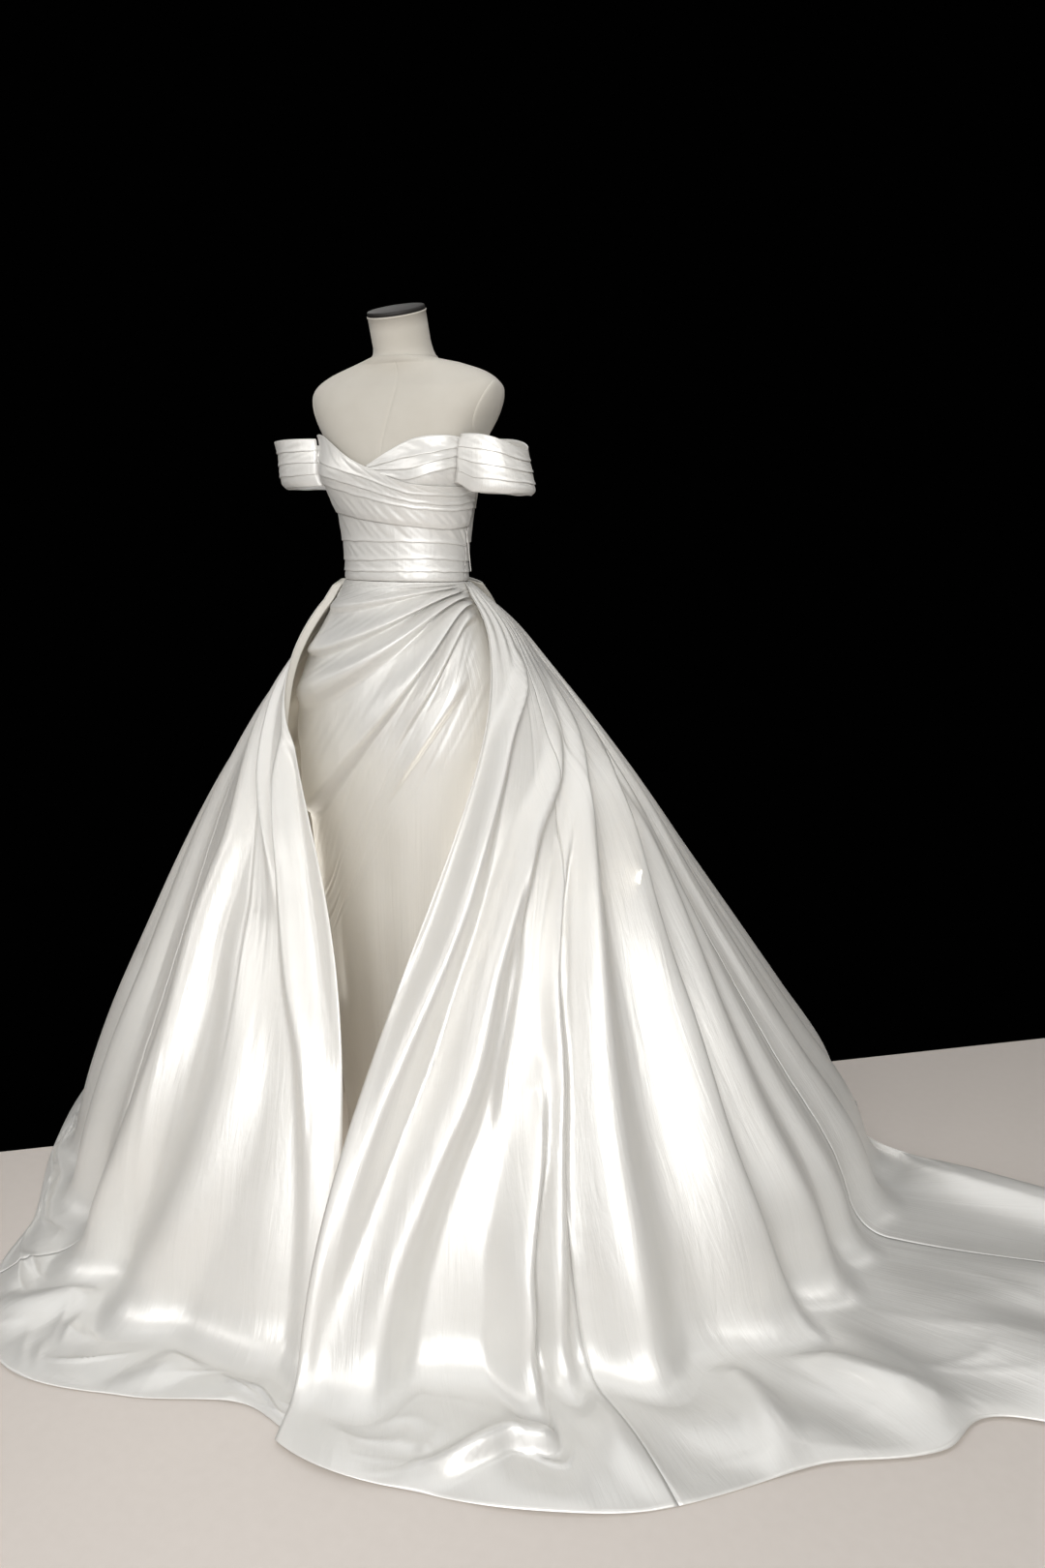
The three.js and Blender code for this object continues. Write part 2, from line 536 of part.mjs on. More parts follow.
// Distance of the plain column's outer face from the axis
function columnReach(angle, z) {
  const side = levelValue(COLUMN, z, 'side') + CLOTH;
  const depth = levelValue(COLUMN, z, Math.cos(angle * RADIANS) > 0 ? 'front' : 'back') + CLOTH;
  return 1 / Math.hypot(Math.sin(angle * RADIANS) / side, Math.cos(angle * RADIANS) / depth);
}
function drapeLevel(angle, line) {
  const k = ease((DRAPE_TURN.from - angle) / (DRAPE_TURN.from - DRAPE_TURN.to));
  return mix(line.left, line.right, k);
}
function drapeStand(angle, fold) {
  const into = ease((fold.from - angle) / DRAPE_FADE.from);
  const outOf = ease((angle - fold.to) / DRAPE_FADE.to);
  return fold.crest * into * outOf;
}
function addColumn() {
  const waistLine = { left: WAIST_Z, right: WAIST_Z };
  const lines = [waistLine, ...DRAPE, ...COLUMN_PLAIN];
  const rows = [];
  lines.forEach((line, k) => {
    rows.push({ k, down: 0 });
    if (k < DRAPE.length + 1 && k < lines.length - 1) {
      rows.push({ k, down: 0.26 });
      rows.push({ k, down: 0.6 });
    }
  });
  const face = (layer) => (angle, row) => {
    const line = lines[row.k];
    const next = lines[row.k + 1] ?? line;
    const z = mix(drapeLevel(angle, line), drapeLevel(angle, next), row.down);
    const fall = line.crest && row.down < 0.3 ? drapeStand(angle, line) * (row.down ? 0.3 : 1) : 0;
    const rise = next.crest && row.down > 0.5 ? drapeStand(angle, next) * 0.35 : 0;
    return columnPoint(angle, z, layer + fall + rise);
  };
  const front = steps(-90 + SEAM_ANGLE, 90 - SEAM_ANGLE, 17);
  addPiece('column_front', wallGeometry(face(CLOTH), face(0), front, rows), SATIN);
  const levels = COLUMN.map((row) => row.z).filter((z) => !COLUMN_SKIPPED.includes(z)).reverse();
  const plainFace = (layer) => (angle, z) => columnPoint(angle, z, layer);
  const back = steps(90 + SEAM_ANGLE, 270 - SEAM_ANGLE, 12);
  addPiece('column_back', wallGeometry(plainFace(CLOTH), plainFace(0), back, levels), SATIN);
}

// Overskirt: distance from the axis without folds
const SIDE_KEYS = [
  { angle: SIDE_ANGLE.left - 360, side: 'left' }, { angle: SIDE_ANGLE.back - 360, side: 'back' },
  { angle: SIDE_ANGLE.right, side: 'right' }, { angle: SIDE_ANGLE.front, side: 'front' },
  { angle: SIDE_ANGLE.left, side: 'left' },
];
function plainReach(angle, z) {
  const first = SIDE_KEYS[0].angle;
  const turned = ((((angle - first) % 360) + 360) % 360) + first;
  const next = SIDE_KEYS.findIndex((key, i) => i > 0 && turned <= key.angle);
  const low = SIDE_KEYS[next - 1];
  const high = SIDE_KEYS[next];
  const k = ease((turned - low.angle) / (high.angle - low.angle));
  const free = mix(levelValue(OVERSKIRT, z, low.side), levelValue(OVERSKIRT, z, high.side), k);
  const room = mix(WAIST_EASE, SKIRT_EASE, clamp((WAIST_Z - z) / SKIRT_EASE_DEPTH, 0, 1));
  return Math.max(free, columnReach(angle, z) + room);
}
// Distance of the hem from the axis
function hemReach(angle) {
  const first = HEM[0].angle;
  const turned = ((((angle - first) % 360) + 360) % 360) + first;
  const angles = [...HEM.map((row) => row.angle), first + 360];
  const reaches = [...HEM.map((row) => row.reach), HEM[0].reach];
  return stationValue(angles, reaches, turned);
}
function overskirtAngle(place, z) {
  const down = clamp((WAIST_Z - z) / WAIST_Z, 0, 1);
  const swung = 1 - (1 - down) ** mix(EDGE_RIGHT.swing, EDGE_LEFT.swing, place);
  const waist = mix(EDGE_RIGHT.waist, EDGE_LEFT.waist - 360, place);
  const hem = mix(EDGE_RIGHT.hem, EDGE_LEFT.hem - 360, place);
  return mix(waist, hem, swung);
}
function foldStand(place, z) {
  const down = clamp((WAIST_Z - z) / WAIST_Z, 0, 1);
  let stand = 0;
  for (const fold of FOLDS) {
    const size = down < HIP_DOWN
      ? mix(fold.waist, fold.hip, down / HIP_DOWN)
      : mix(fold.hip, fold.hem, (down - HIP_DOWN) / (1 - HIP_DOWN));
    stand += size * swell((place - fold.place - fold.drift * down) / fold.half);
  }
  return stand;
}
// Where the front edges lap, the right one is drawn in and the left one held out
function lapShift(place, z) {
  const low = ease((EDGE_LAP.height - z) / EDGE_LAP.height * EDGE_LAP.quick);
  const onRight = ease(1 - place / EDGE_LAP.width);
  const onLeft = ease(1 - (1 - place) / EDGE_LAP.width);
  return EDGE_LAP.apart * low * (onLeft - onRight);
}
function wallReach(place, z) {
  return plainReach(overskirtAngle(place, z), z) + foldStand(place, z) + lapShift(place, z);
}
function heapHeight(place, along) {
  let height = 0;
  FOLDS.forEach((fold, k) => {
    const next = FOLDS[k + 1];
    if (!next) return;
    const gap = next.place - fold.place;
    const slant = HEAP_SLANT * Math.sin(k * HEAP_TURN) * (along - 0.5);
    const middle = (fold.place + next.place) / 2 + slant * gap;
    height += fold.heap * swell((place - middle) / (gap * HEAP_WIDTH));
  });
  return height * Math.sin(Math.PI * along * HEAP_END) ** 1.2;
}
// Point of the overskirt's outer face. drop runs 0..1 down the wall, 1..2 round the turn at
// the floor and 2..3 along the floor to the hem.
function overskirtPoint(place, drop) {
  const top = FLOOR_REST + CLOTH;
  const polar = (reach, angle, z) => new THREE.Vector3(
    reach * Math.sin(angle * RADIANS),
    -reach * Math.cos(angle * RADIANS),
    z,
  );
  if (drop <= 1) {
    const z = mix(WAIST_Z, TURN_Z, drop);
    return polar(wallReach(place, z), overskirtAngle(place, z), z);
  }
  const angle = overskirtAngle(place, 0);
  const reach = wallReach(place, TURN_Z);
  const slope = (reach - wallReach(place, TURN_Z + SLOPE_SPAN)) / SLOPE_SPAN;
  const corner = reach + slope * (TURN_Z - top);
  const onLap = ease((place - LAP_LIFT.from) / LAP_LIFT.over);
  const lift = LAP_LIFT.height * onLap;
  const run = Math.max(hemReach(angle) - corner, FLOOR_LEAST);
  const turned = Math.min(run * TURN_SHARE, TURN_REACH);
  if (drop <= 2) {
    const k = drop - 1;
    const r = (1 - k) ** 2 * reach + 2 * k * (1 - k) * corner + k * k * (corner + turned);
    const z = (1 - k) ** 2 * TURN_Z + (1 - (1 - k) ** 2) * (top + lift);
    return polar(r, mix(overskirtAngle(place, TURN_Z), angle, k), z);
  }
  const along = drop - 2;
  const end = Math.max(hemReach(angle) + LAP_LIFT.reach * onLap, corner + FLOOR_LEAST);
  const r = mix(corner + turned, end, along);
  return polar(r, angle, top + lift + heapHeight(place, along));
}
function overskirtFace(layer, seam) {
  const tiny = 1e-4;                         // step that the directions are taken over
  return (column, drop) => {
    const p = overskirtPoint(column, drop);
    const across = overskirtPoint(column + tiny, drop).sub(overskirtPoint(column - tiny, drop));
    const place = column + (seam.get(column) ?? 0) * SEAM_GAP / 2 * (2 * tiny) / across.length();
    const low = Math.max(drop - tiny, 0);
    const downward = overskirtPoint(place, drop + tiny).sub(overskirtPoint(place, low));
    const normal = downward.cross(across).normalize();
    if (layer === 0) return overskirtPoint(place, drop);
    return overskirtPoint(place, drop).addScaledVector(normal, -layer);
  };
}
function addOverskirt() {
  const drops = [
    ...WALL_LEVELS.map((z) => (WAIST_Z - z) / (WAIST_Z - TURN_Z)),
    ...TURN_STEPS.map((k) => 1 + k),
    ...FLOOR_STEPS.map((k) => 2 + k),
  ];
  const places = [];
  FOLDS.forEach((fold, k) => {
    const next = FOLDS[k + 1];
    places.push(fold.place);
    if (next) [0.25, 0.5, 0.75].forEach((part) => places.push(mix(fold.place, next.place, part)));
  });
  for (const gore of GORES) {
    const inside = places.filter((p) => p > gore.from + 0.003 && p < gore.to - 0.003);
    const columns = [gore.from, ...inside, gore.to];
    const seam = new Map([[gore.from, 1], [gore.to, -1]]);
    const geometry = wallGeometry(overskirtFace(0, seam), overskirtFace(CLOTH, seam), columns, drops);
    addPiece(gore.name, geometry, SATIN);
  }
}

// Bow: two flat loops and the knot between them
const bowSeat = (z) => BOW.seat + BOW.slope * Math.max(0, WAIST_Z - z);
function addBow() {
  const rows = steps(BOW.z - BOW.height / 2, BOW.z + BOW.height / 2, 4);
  for (const hand of [-1, 1]) {
    const inner = BOW.knotWidth / 2 + BOW.clear;
    const face = (layer) => (turn, z) => {
      const high = (z - BOW.z) / (BOW.height / 2);
      const reach = (BOW.span - inner) / 2;
      const length = reach * (1 - BOW.pinch * high * high);
      const x = inner + reach - (length - layer) * Math.cos(turn * RADIANS);
      const out = (x - inner) / (2 * reach);
      const open = mix(BOW.open, 1, out);
      const level = mix(BOW.z, z, open) - BOW.droop * out * out;
      const y = bowSeat(level) + BOW.depth + (BOW.depth * open - layer) * Math.sin(turn * RADIANS);
      return new THREE.Vector3(hand * x, y, level);
    };
    const turns = steps(0, 360, 20).slice(0, -1);
    const columns = hand > 0 ? turns : [...turns].reverse();
    const name = hand > 0 ? 'bow_loop_left' : 'bow_loop_right';
    addPiece(name, wallGeometry(face(0), face(CLOTH), columns, rows, true), SATIN);
  }
  const knot = [-1, -0.6, 0.6, 1].map((end) => steps(0, 360, 16).slice(0, -1).map((turn) => {
    const round = Math.abs(end) === 1 ? 0.72 : 1;
    const half = BOW.knotWidth / 2 * round;
    const deep = BOW.depth * 0.8 * round;
    const level = BOW.z + end * BOW.height * 0.26;
    return new THREE.Vector3(
      half * Math.cos(turn * RADIANS),
      bowSeat(level) + BOW.depth + deep * Math.sin(turn * RADIANS),
      level,
    );
  }));
  addPiece('bow_knot', ringSolid(knot), SATIN);
}

addForm();
addBodice();
addPiece('sleeve_left', sleeveGeometry(1, SLEEVE_LEFT), SATIN);
addPiece('sleeve_right', sleeveGeometry(-1, SLEEVE_RIGHT), SATIN);
addColumn();
addOverskirt();
addBow();

export default gown;
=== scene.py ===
"""A satin wedding dress on a limbless dress form, set up for rendering."""
import math
import bpy
import numpy as np
from mathutils import Matrix


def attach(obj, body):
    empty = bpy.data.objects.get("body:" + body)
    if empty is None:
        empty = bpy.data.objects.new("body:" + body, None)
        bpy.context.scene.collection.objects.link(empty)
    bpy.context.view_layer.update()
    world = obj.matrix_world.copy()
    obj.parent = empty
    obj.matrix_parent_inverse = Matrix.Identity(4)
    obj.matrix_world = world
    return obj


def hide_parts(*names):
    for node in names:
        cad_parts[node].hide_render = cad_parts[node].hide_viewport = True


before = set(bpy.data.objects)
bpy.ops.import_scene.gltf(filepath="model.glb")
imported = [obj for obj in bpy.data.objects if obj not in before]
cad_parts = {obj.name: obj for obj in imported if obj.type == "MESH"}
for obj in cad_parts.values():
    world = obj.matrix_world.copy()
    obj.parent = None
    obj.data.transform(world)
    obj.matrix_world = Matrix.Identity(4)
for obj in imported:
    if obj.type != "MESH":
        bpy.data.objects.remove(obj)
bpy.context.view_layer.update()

MM = 0.001

# Driving sizes in millimetres, as in the solids
WAIST_Z = 1150.0
CLOTH = 1.6
FORM_EASE = 2.8
WAIST_SEAT = 0.95
LAYER_GAP = 1.3
TUCK = 2.2
WAIST_EASE = 0.7
SKIRT_EASE = 7.0
SKIRT_EASE_DEPTH = 12.0
FLOOR_REST = 1.0
NECK_LEAN = 19.0
NECK_RADIUS = 53.0
NECK_LENGTH = 84.0
NECK_BEND = 30.0
CAP_THICK = 7.0
SEAM_GAP = 0.36
SHELL = 0.7                      # thickness that the cloth is drawn with

# The form's body: level, half width, depth in front and behind, shift back, squareness
BODY = dict(
    z=[860, 880, 965, 1060, 1120, 1165, 1215, 1265, 1315, 1345, 1385, 1420, 1460, 1492, 1509, 1525, 1539],
    side=[118, 160, 172, 147, 128, 121, 123, 130, 140, 145, 151, 165, 183, 190, 182, 156, 112],
    front=[78, 104, 110, 100, 88, 84, 87, 94, 102, 105, 104, 99, 90, 77, 66, 57, 54],
    back=[82, 112, 124, 104, 88, 84, 86, 92, 97, 99, 103, 105, 103, 92, 80, 68, 58],
    shift=[0, 0, 0, 0, 0, 0, 0, 0, 0, 0, 0, 2, 5, 8, 10, 11, 10],
    square=[2, 2, 2, 2, 2, 2, 2, 2, 2, 2.1, 2.2, 2.4, 2.6, 2.6, 2.4, 2.2, 2.1],
)
BUST = dict(z=1345, angle=40, stand=20, half_angle=24, half_height=46)

# The column skirt: level, half width, depth in front and behind
COLUMN = dict(
    z=[10, 134, 305, 468, 609, 787, 855, 960, 1021, 1100, 1150],
    side=[148, 163, 186, 202, 206, 228, 236, 222, 197, 152, 124.4],
    front=[118, 125, 138, 148, 150, 161, 164, 157, 143, 110, 86.4],
    back=[118, 122, 136, 146, 150, 162, 166, 160, 145, 110, 86.4],
)
# Folds of the draped front: height at the left and right seam, how far the crest stands out,
# and the angles between which it shows
DRAPE = dict(
    left=[1146, 1141, 1134, 1125, 1112, 1092, 1016],
    right=[1132, 1103, 1019, 942, 714, 565, 490],
    crest=[7, 13, 21, 26, 27, 21, 14],
    start=[80, 78, 82, 88, 88, 86, 60],
    end=[5, -66, -64, -62, -62, 12, 6],
)
DRAPE_TURN = (72.0, -50.0)       # angles between which a fold runs downhill
DRAPE_FADE = dict(start=22, end=26)
DRAPE_FALL = 0.20                # of the way down to the next fold, where this one has fallen off
DRAPE_RISE = 0.15                # and where the next one begins to stand out
COLUMN_PLAIN = dict(left=[900, 760, 600, 430, 240, 10], right=[430, 410, 370, 290, 170, 10])

# Overskirt: distance from the axis by level and side
OVERSKIRT = dict(
    z=[0, 150, 300, 450, 600, 750, 900, 1000, 1075, 1150],
    right=[656, 620, 568, 503, 435, 361, 278, 218, 170, 124],
    front=[714, 656, 590, 516, 434, 350, 262, 200, 148, 86],
    left=[930, 872, 762, 655, 550, 450, 338, 262, 204, 124],
    back=[805, 765, 712, 640, 555, 458, 345, 260, 188, 86],
)
SIDE_ANGLE = dict(right=-45, front=20, left=98, back=190)
EDGE_RIGHT = dict(waist=-82, hem=20, swing=4.2)
EDGE_LEFT = dict(waist=88, hem=17, swing=2.4)
EDGE_LAP = dict(width=0.035, height=420, apart=20)
HEM = dict(
    angle=[-150, -120, -90, -70, -55, -38, -29, -14, 0, 12, 20, 28, 45, 60, 68, 74, 79, 84, 90, 96, 101,
           106, 111, 130, 155, 180],
    reach=[980, 910, 820, 760, 740, 755, 830, 907, 850, 806, 862, 922, 1030, 1092, 1190, 1235, 1520, 1800,
           1880, 1800, 1480, 1110, 950, 940, 1010, 1030],
)
# Folds of the overskirt, by place round it from the right front edge (0) to the left one (1)
FOLDS = dict(
    place=[0.004, 0.052, 0.104, 0.160, 0.214, 0.272, 0.330, 0.390, 0.448, 0.508, 0.566, 0.620, 0.670, 0.714,
           0.752, 0.782, 0.810, 0.838, 0.868, 0.901, 0.934, 0.966, 0.995],
    drift=[0.006, 0.010, 0.014, 0.006, -0.004, 0.004, 0.008, -0.006, 0.004, -0.004, 0.006, 0.002, -0.004,
           0.003, 0.002, -0.002, 0.001, -0.003, -0.004, -0.002, 0.002, 0.000, 0.002],
    half=[0.021, 0.024, 0.026, 0.025, 0.028, 0.026, 0.029, 0.027, 0.030, 0.028, 0.027, 0.025, 0.023, 0.020,
          0.017, 0.015, 0.014, 0.015, 0.016, 0.016, 0.015, 0.014, 0.014],
    waist=[0, 3, 4, 3, 4, 3, 4, 4, 4, 4, 4, 4, 4, 4, 4, 4, 4, 4, 4, 4, 3, 3, 0],
    hip=[18, 14, 17, 14, 19, 15, 21, 17, 24, 20, 18, 20, 17, 19, 16, 16, 15, 18, 21, 23, 17, 22, 20],
    hem=[28, 34, 40, 36, 44, 38, 48, 42, 54, 46, 44, 46, 40, 42, 34, 32, 30, 34, 38, 30, 34, 30, 24],
    heap=[5, 7, 9, 12, 9, 14, 11, 17, 13, 18, 14, 20, 16, 24, 34, 46, 38, 30, 20, 12, 14, 9, 4],
)
GORES = [
    ("overskirt_right_front", 0, 0.132), ("overskirt_right_side", 0.132, 0.301),
    ("overskirt_back_right", 0.301, 0.478), ("overskirt_back_left", 0.478, 0.645),
    ("overskirt_train", 0.645, 0.796), ("overskirt_left_side", 0.796, 0.911),
    ("overskirt_left_front", 0.911, 1),
]
SEAM_DIP = 1.2                   # how far a gore seam is drawn in
SEAM_WIDTH = 0.0016              # half width of that dip, as a place
# Puckers of its stitching: spread is in widths of the dip, run the height over which they change
PUCKER = dict(stand=0.45, spread=5, every=7.5, run=60)
FULL_TURN = 6.283                # radians
# Pleats at the waist seam: how many, where they fade and over how much height
GATHERS = dict(count=43, stand=2.6, grown=14, fade=40, over=190)
SLACK = dict(count=27, broad=3.2, fine=0.9)
HIP_DOWN = 0.22                  # depth of the hip below the waist seam, of the whole height
TURN_Z = 60.0
SLOPE_SPAN = 100.0               # height over which the wall's slope is taken
TURN_REACH = 48.0
TURN_SHARE = 0.6                 # of the cloth that runs out past the wall's foot
FLOOR_LEAST = 22.0
FLOOR_GROWN = 6                  # a fold on the floor is grown at one part in this of its length
HEAP_SLANT = 0.7
HEAP_TURN = 2.4
HEAP_WIDTH = 0.62
HEAP_END = 0.92
LAP_LIFT = dict(start=0.96, over=0.03, height=5.0, reach=26.0)
# Fine crisp lines of the cloth, as ranges: how far they stand out, half width as a place, upper
# end, length and sidewards bend. From the place "calm_from" on they are weaker by "calm".
CREASES = dict(
    seed=17, count=110, stand=(1.0, 4.2), half=(0.0010, 0.0034), middle=(0.01, 0.99), top=(420, 1060),
    long=(220, 620), bend=(-0.016, 0.016), calm=0.85, calm_from=0.925, calm_over=0.02,
)
# And on the floor, where "round" and "out" are the length of that cloth round the hem and across
FLOOR_CREASES = dict(
    seed=23, count=130, height=(2.0, 8.0), round=5400, out=300, turn=(0.2, 2.9), long=(60, 190), wide=(5, 15),
    bend=(-0.001, 0.001),
)
# Single folds of the cloth that lies on the floor: along runs from the turn (0) to the hem (1)
FLOOR_FOLDS = dict(
    roll=dict(along=[0, 0.3, 0.6, 0.75, 1], place=[0.9304, 0.934, 0.947, 0.955, 0.964],
              height=[20, 34, 28, 16, 0], fore=0.011, aft=0.0055),
    arch_left=dict(along=[0, 0.4, 0.8, 1], place=[0.918, 0.916, 0.913, 0.911], height=[14, 16, 8, 0],
                   fore=0.007, aft=0.007),
    arch_middle=dict(along=[0, 0.4, 0.8, 1], place=[0.877, 0.879, 0.884, 0.887], height=[16, 18, 9, 0],
                     fore=0.008, aft=0.007),
    arch_right=dict(along=[0, 0.4, 0.8, 1], place=[0.857, 0.856, 0.852, 0.850], height=[14, 17, 9, 0],
                    fore=0.006, aft=0.007),
    right_front=dict(along=[0, 0.5, 1], place=[0.048, 0.052, 0.058], height=[12, 14, 0],
                     fore=0.010, aft=0.012),
    right_corner=dict(along=[0, 0.5, 1], place=[0.104, 0.108, 0.112], height=[16, 18, 4],
                      fore=0.011, aft=0.013),
)
GORE_COLUMNS = 880               # columns of the overskirt's mesh, all round
GORE_ROWS = dict(wall=86, turn=12, floor=34)

# Lines of the bodice: heights at stations round the form
FRONT_STATIONS = [-90, -45, -10, 25, 60, 90]
WRAP_LINES = [
    [1282, 1272, 1260, 1250, 1245, 1251],
    [1344, 1324, 1302, 1283, 1278, 1285],
    [1362, 1342, 1318, 1294, 1288, 1297],
    [1386, 1366, 1338, 1308, 1304, 1310],
    [1398, 1413, 1361, 1324, 1319, 1322],
]
CUP_STATIONS = [-5, 10, 25, 45, 65, 90]
CUP_LINES = [
    [1345, 1330, 1314, 1310, 1309, 1312],
    [1347, 1337, 1331, 1346, 1355, 1351],
    [1349, 1348, 1350, 1364, 1374, 1371],
    [1351, 1361, 1370, 1380, 1388, 1388],
    [1354, 1380, 1401, 1407, 1404, 1401],
]
MIDRIFF_LINES = [
    [1150.4] * 6,
    [1168, 1168, 1169, 1170, 1170, 1168],
    [1189, 1188, 1189, 1193, 1192, 1188],
    [1225, 1224, 1223, 1223, 1221, 1216],
    [1290, 1280, 1268, 1258, 1253, 1259],
]
BACK_STATIONS = [90, 135, 180]
BACK_LINES = [
    [1150.4, 1150.4, 1150.4], [1168, 1169, 1170], [1189, 1190, 1192], [1222, 1224, 1226],
    [1284, 1286, 1288], [1318, 1318, 1318], [1356, 1354, 1352], [1400, 1394, 1390],
]
SLEEVES = dict(
    left=dict(hand=1, start=60, end=121, seat=10, swell=81, flare=34, top=1410, top_drop=24, bottom=1312,
              bottom_drop=6),
    right=dict(hand=-1, start=60, end=121, seat=11.5, swell=106, flare=8, top=1408, top_drop=4, bottom=1322,
               bottom_drop=4),
)
SLEEVE_TUCKS = 3
SLEEVE_WAVE = 0.012              # how far a tuck's edge wanders, of the band's height
BOW = dict(z=1138, height=74, span=106, depth=17, knot=34, clear=0.5, droop=36, seat=96, slope=1.15)


def clamp01(x):
    return np.clip(x, 0, 1)


def ease(k):
    c = clamp01(k)
    return c * c * (3 - 2 * c)


def mix(a, b, k):
    return a + (b - a) * k


def swell(x):
    return np.where(np.abs(x) >= 1, 0, (1 + np.cos(np.pi * x)) / 2)


def through(stations, values, x):
    """A smooth curve through values at stations."""
    s = np.asarray(stations, float)
    v = np.asarray(values, float)
    x = np.asarray(x, float)
    slope = np.empty_like(v)
    slope[1:-1] = (v[2:] - v[:-2]) / (s[2:] - s[:-2])
    slope[0] = (v[1] - v[0]) / (s[1] - s[0])
    slope[-1] = (v[-1] - v[-2]) / (s[-1] - s[-2])
    i = np.clip(np.searchsorted(s, x, side="right") - 1, 0, len(s) - 2)
    span = s[i + 1] - s[i]
    k = clamp01((x - s[i]) / span)
    k2, k3 = k * k, k * k * k
    return (v[i] * (2 * k3 - 3 * k2 + 1) + v[i + 1] * (3 * k2 - 2 * k3)
            + span * (slope[i] * (k3 - 2 * k2 + k) + slope[i + 1] * (k3 - k2)))


def ripple(x, seed, count=6):
    """A smooth uneven wave between about -1 and 1, the same each time for a seed."""
    rng = np.random.default_rng(seed)
    total = np.zeros_like(np.asarray(x, float))
    for k in range(count):
        size, speed, start = rng.uniform(0.5, 1), rng.uniform(0.8, 1.25), rng.uniform(0, 6.28)
        total = total + size * np.sin(x * (k + 1) * speed + start)
    return total / (count * 0.5)


def at_level(table, column, z):
    return through(table["z"], table[column], z)


def as_arrays(*values):
    return np.broadcast_arrays(*(np.asarray(value, float) for value in values))


def body_point(angle, z, off):
    """A point of the form's skin, or of a layer off outside it."""
    angle, z, off = as_arrays(angle, z, off)
    sine = np.sin(np.radians(angle))
    cosine = np.cos(np.radians(angle))
    power = 2 / at_level(BODY, "square", z)
    side = at_level(BODY, "side", z)
    depth = np.where(cosine > 0, at_level(BODY, "front", z), at_level(BODY, "back", z))
    stand = np.zeros_like(z)
    for hand in (-1, 1):
        across = (angle - hand * BUST["angle"]) / BUST["half_angle"]
        up = (z - BUST["z"]) / BUST["half_height"]
        stand = stand + BUST["stand"] * np.exp(-across ** 2 - up ** 2)
    x = (side + off) * np.sign(sine) * np.abs(sine) ** power + stand * sine
    y = -(depth + off) * np.sign(cosine) * np.abs(cosine) ** power - stand * cosine
    return np.stack([x, y + at_level(BODY, "shift", z), z], -1)


def column_size(angle, z, off):
    """Half width and depth of the column skirt's inner face, or of a layer off outside it."""
    front = np.cos(np.radians(angle)) > 0
    depth = np.where(front, at_level(COLUMN, "front", z), at_level(COLUMN, "back", z))
    return at_level(COLUMN, "side", z) + off, depth + off


def column_point(angle, z, off):
    angle, z, off = as_arrays(angle, z, off)
    side, depth = column_size(angle, z, off)
    return np.stack([side * np.sin(np.radians(angle)), -depth * np.cos(np.radians(angle)), z], -1)


def column_reach(angle, z):
    """Distance of the plain column's outer face from the axis."""
    side, depth = column_size(angle, z, CLOTH)
    return 1 / np.hypot(np.sin(np.radians(angle)) / side, np.cos(np.radians(angle)) / depth)


SIDE_KEYS = [(SIDE_ANGLE["left"] - 360, "left"), (SIDE_ANGLE["back"] - 360, "back"),
             (SIDE_ANGLE["right"], "right"), (SIDE_ANGLE["front"], "front"), (SIDE_ANGLE["left"], "left")]


def plain_reach(angle, z):
    """Distance of the overskirt from the axis without its folds."""
    first = SIDE_KEYS[0][0]
    turned = (angle - first) % 360 + first
    free = np.zeros_like(turned)
    for (low, a), (high, b) in zip(SIDE_KEYS, SIDE_KEYS[1:]):
        here = (turned >= low) & (turned <= high)
        k = ease((turned - low) / (high - low))
        value = mix(at_level(OVERSKIRT, a, z), at_level(OVERSKIRT, b, z), k)
        free = np.where(here, value, free)
    room = mix(WAIST_EASE, SKIRT_EASE, clamp01((WAIST_Z - z) / SKIRT_EASE_DEPTH))
    return np.maximum(free, column_reach(angle, z) + room)


def hem_reach(angle):
    first = HEM["angle"][0]
    turned = (angle - first) % 360 + first
    return through(HEM["angle"] + [first + 360], HEM["reach"] + [HEM["reach"][0]], turned)


def skirt_angle(place, z):
    down = clamp01((WAIST_Z - z) / WAIST_Z)
    swung = 1 - (1 - down) ** mix(EDGE_RIGHT["swing"], EDGE_LEFT["swing"], place)
    waist = mix(EDGE_RIGHT["waist"], EDGE_LEFT["waist"] - 360, place)
    hem = mix(EDGE_RIGHT["hem"], EDGE_LEFT["hem"] - 360, place)
    return mix(waist, hem, swung)


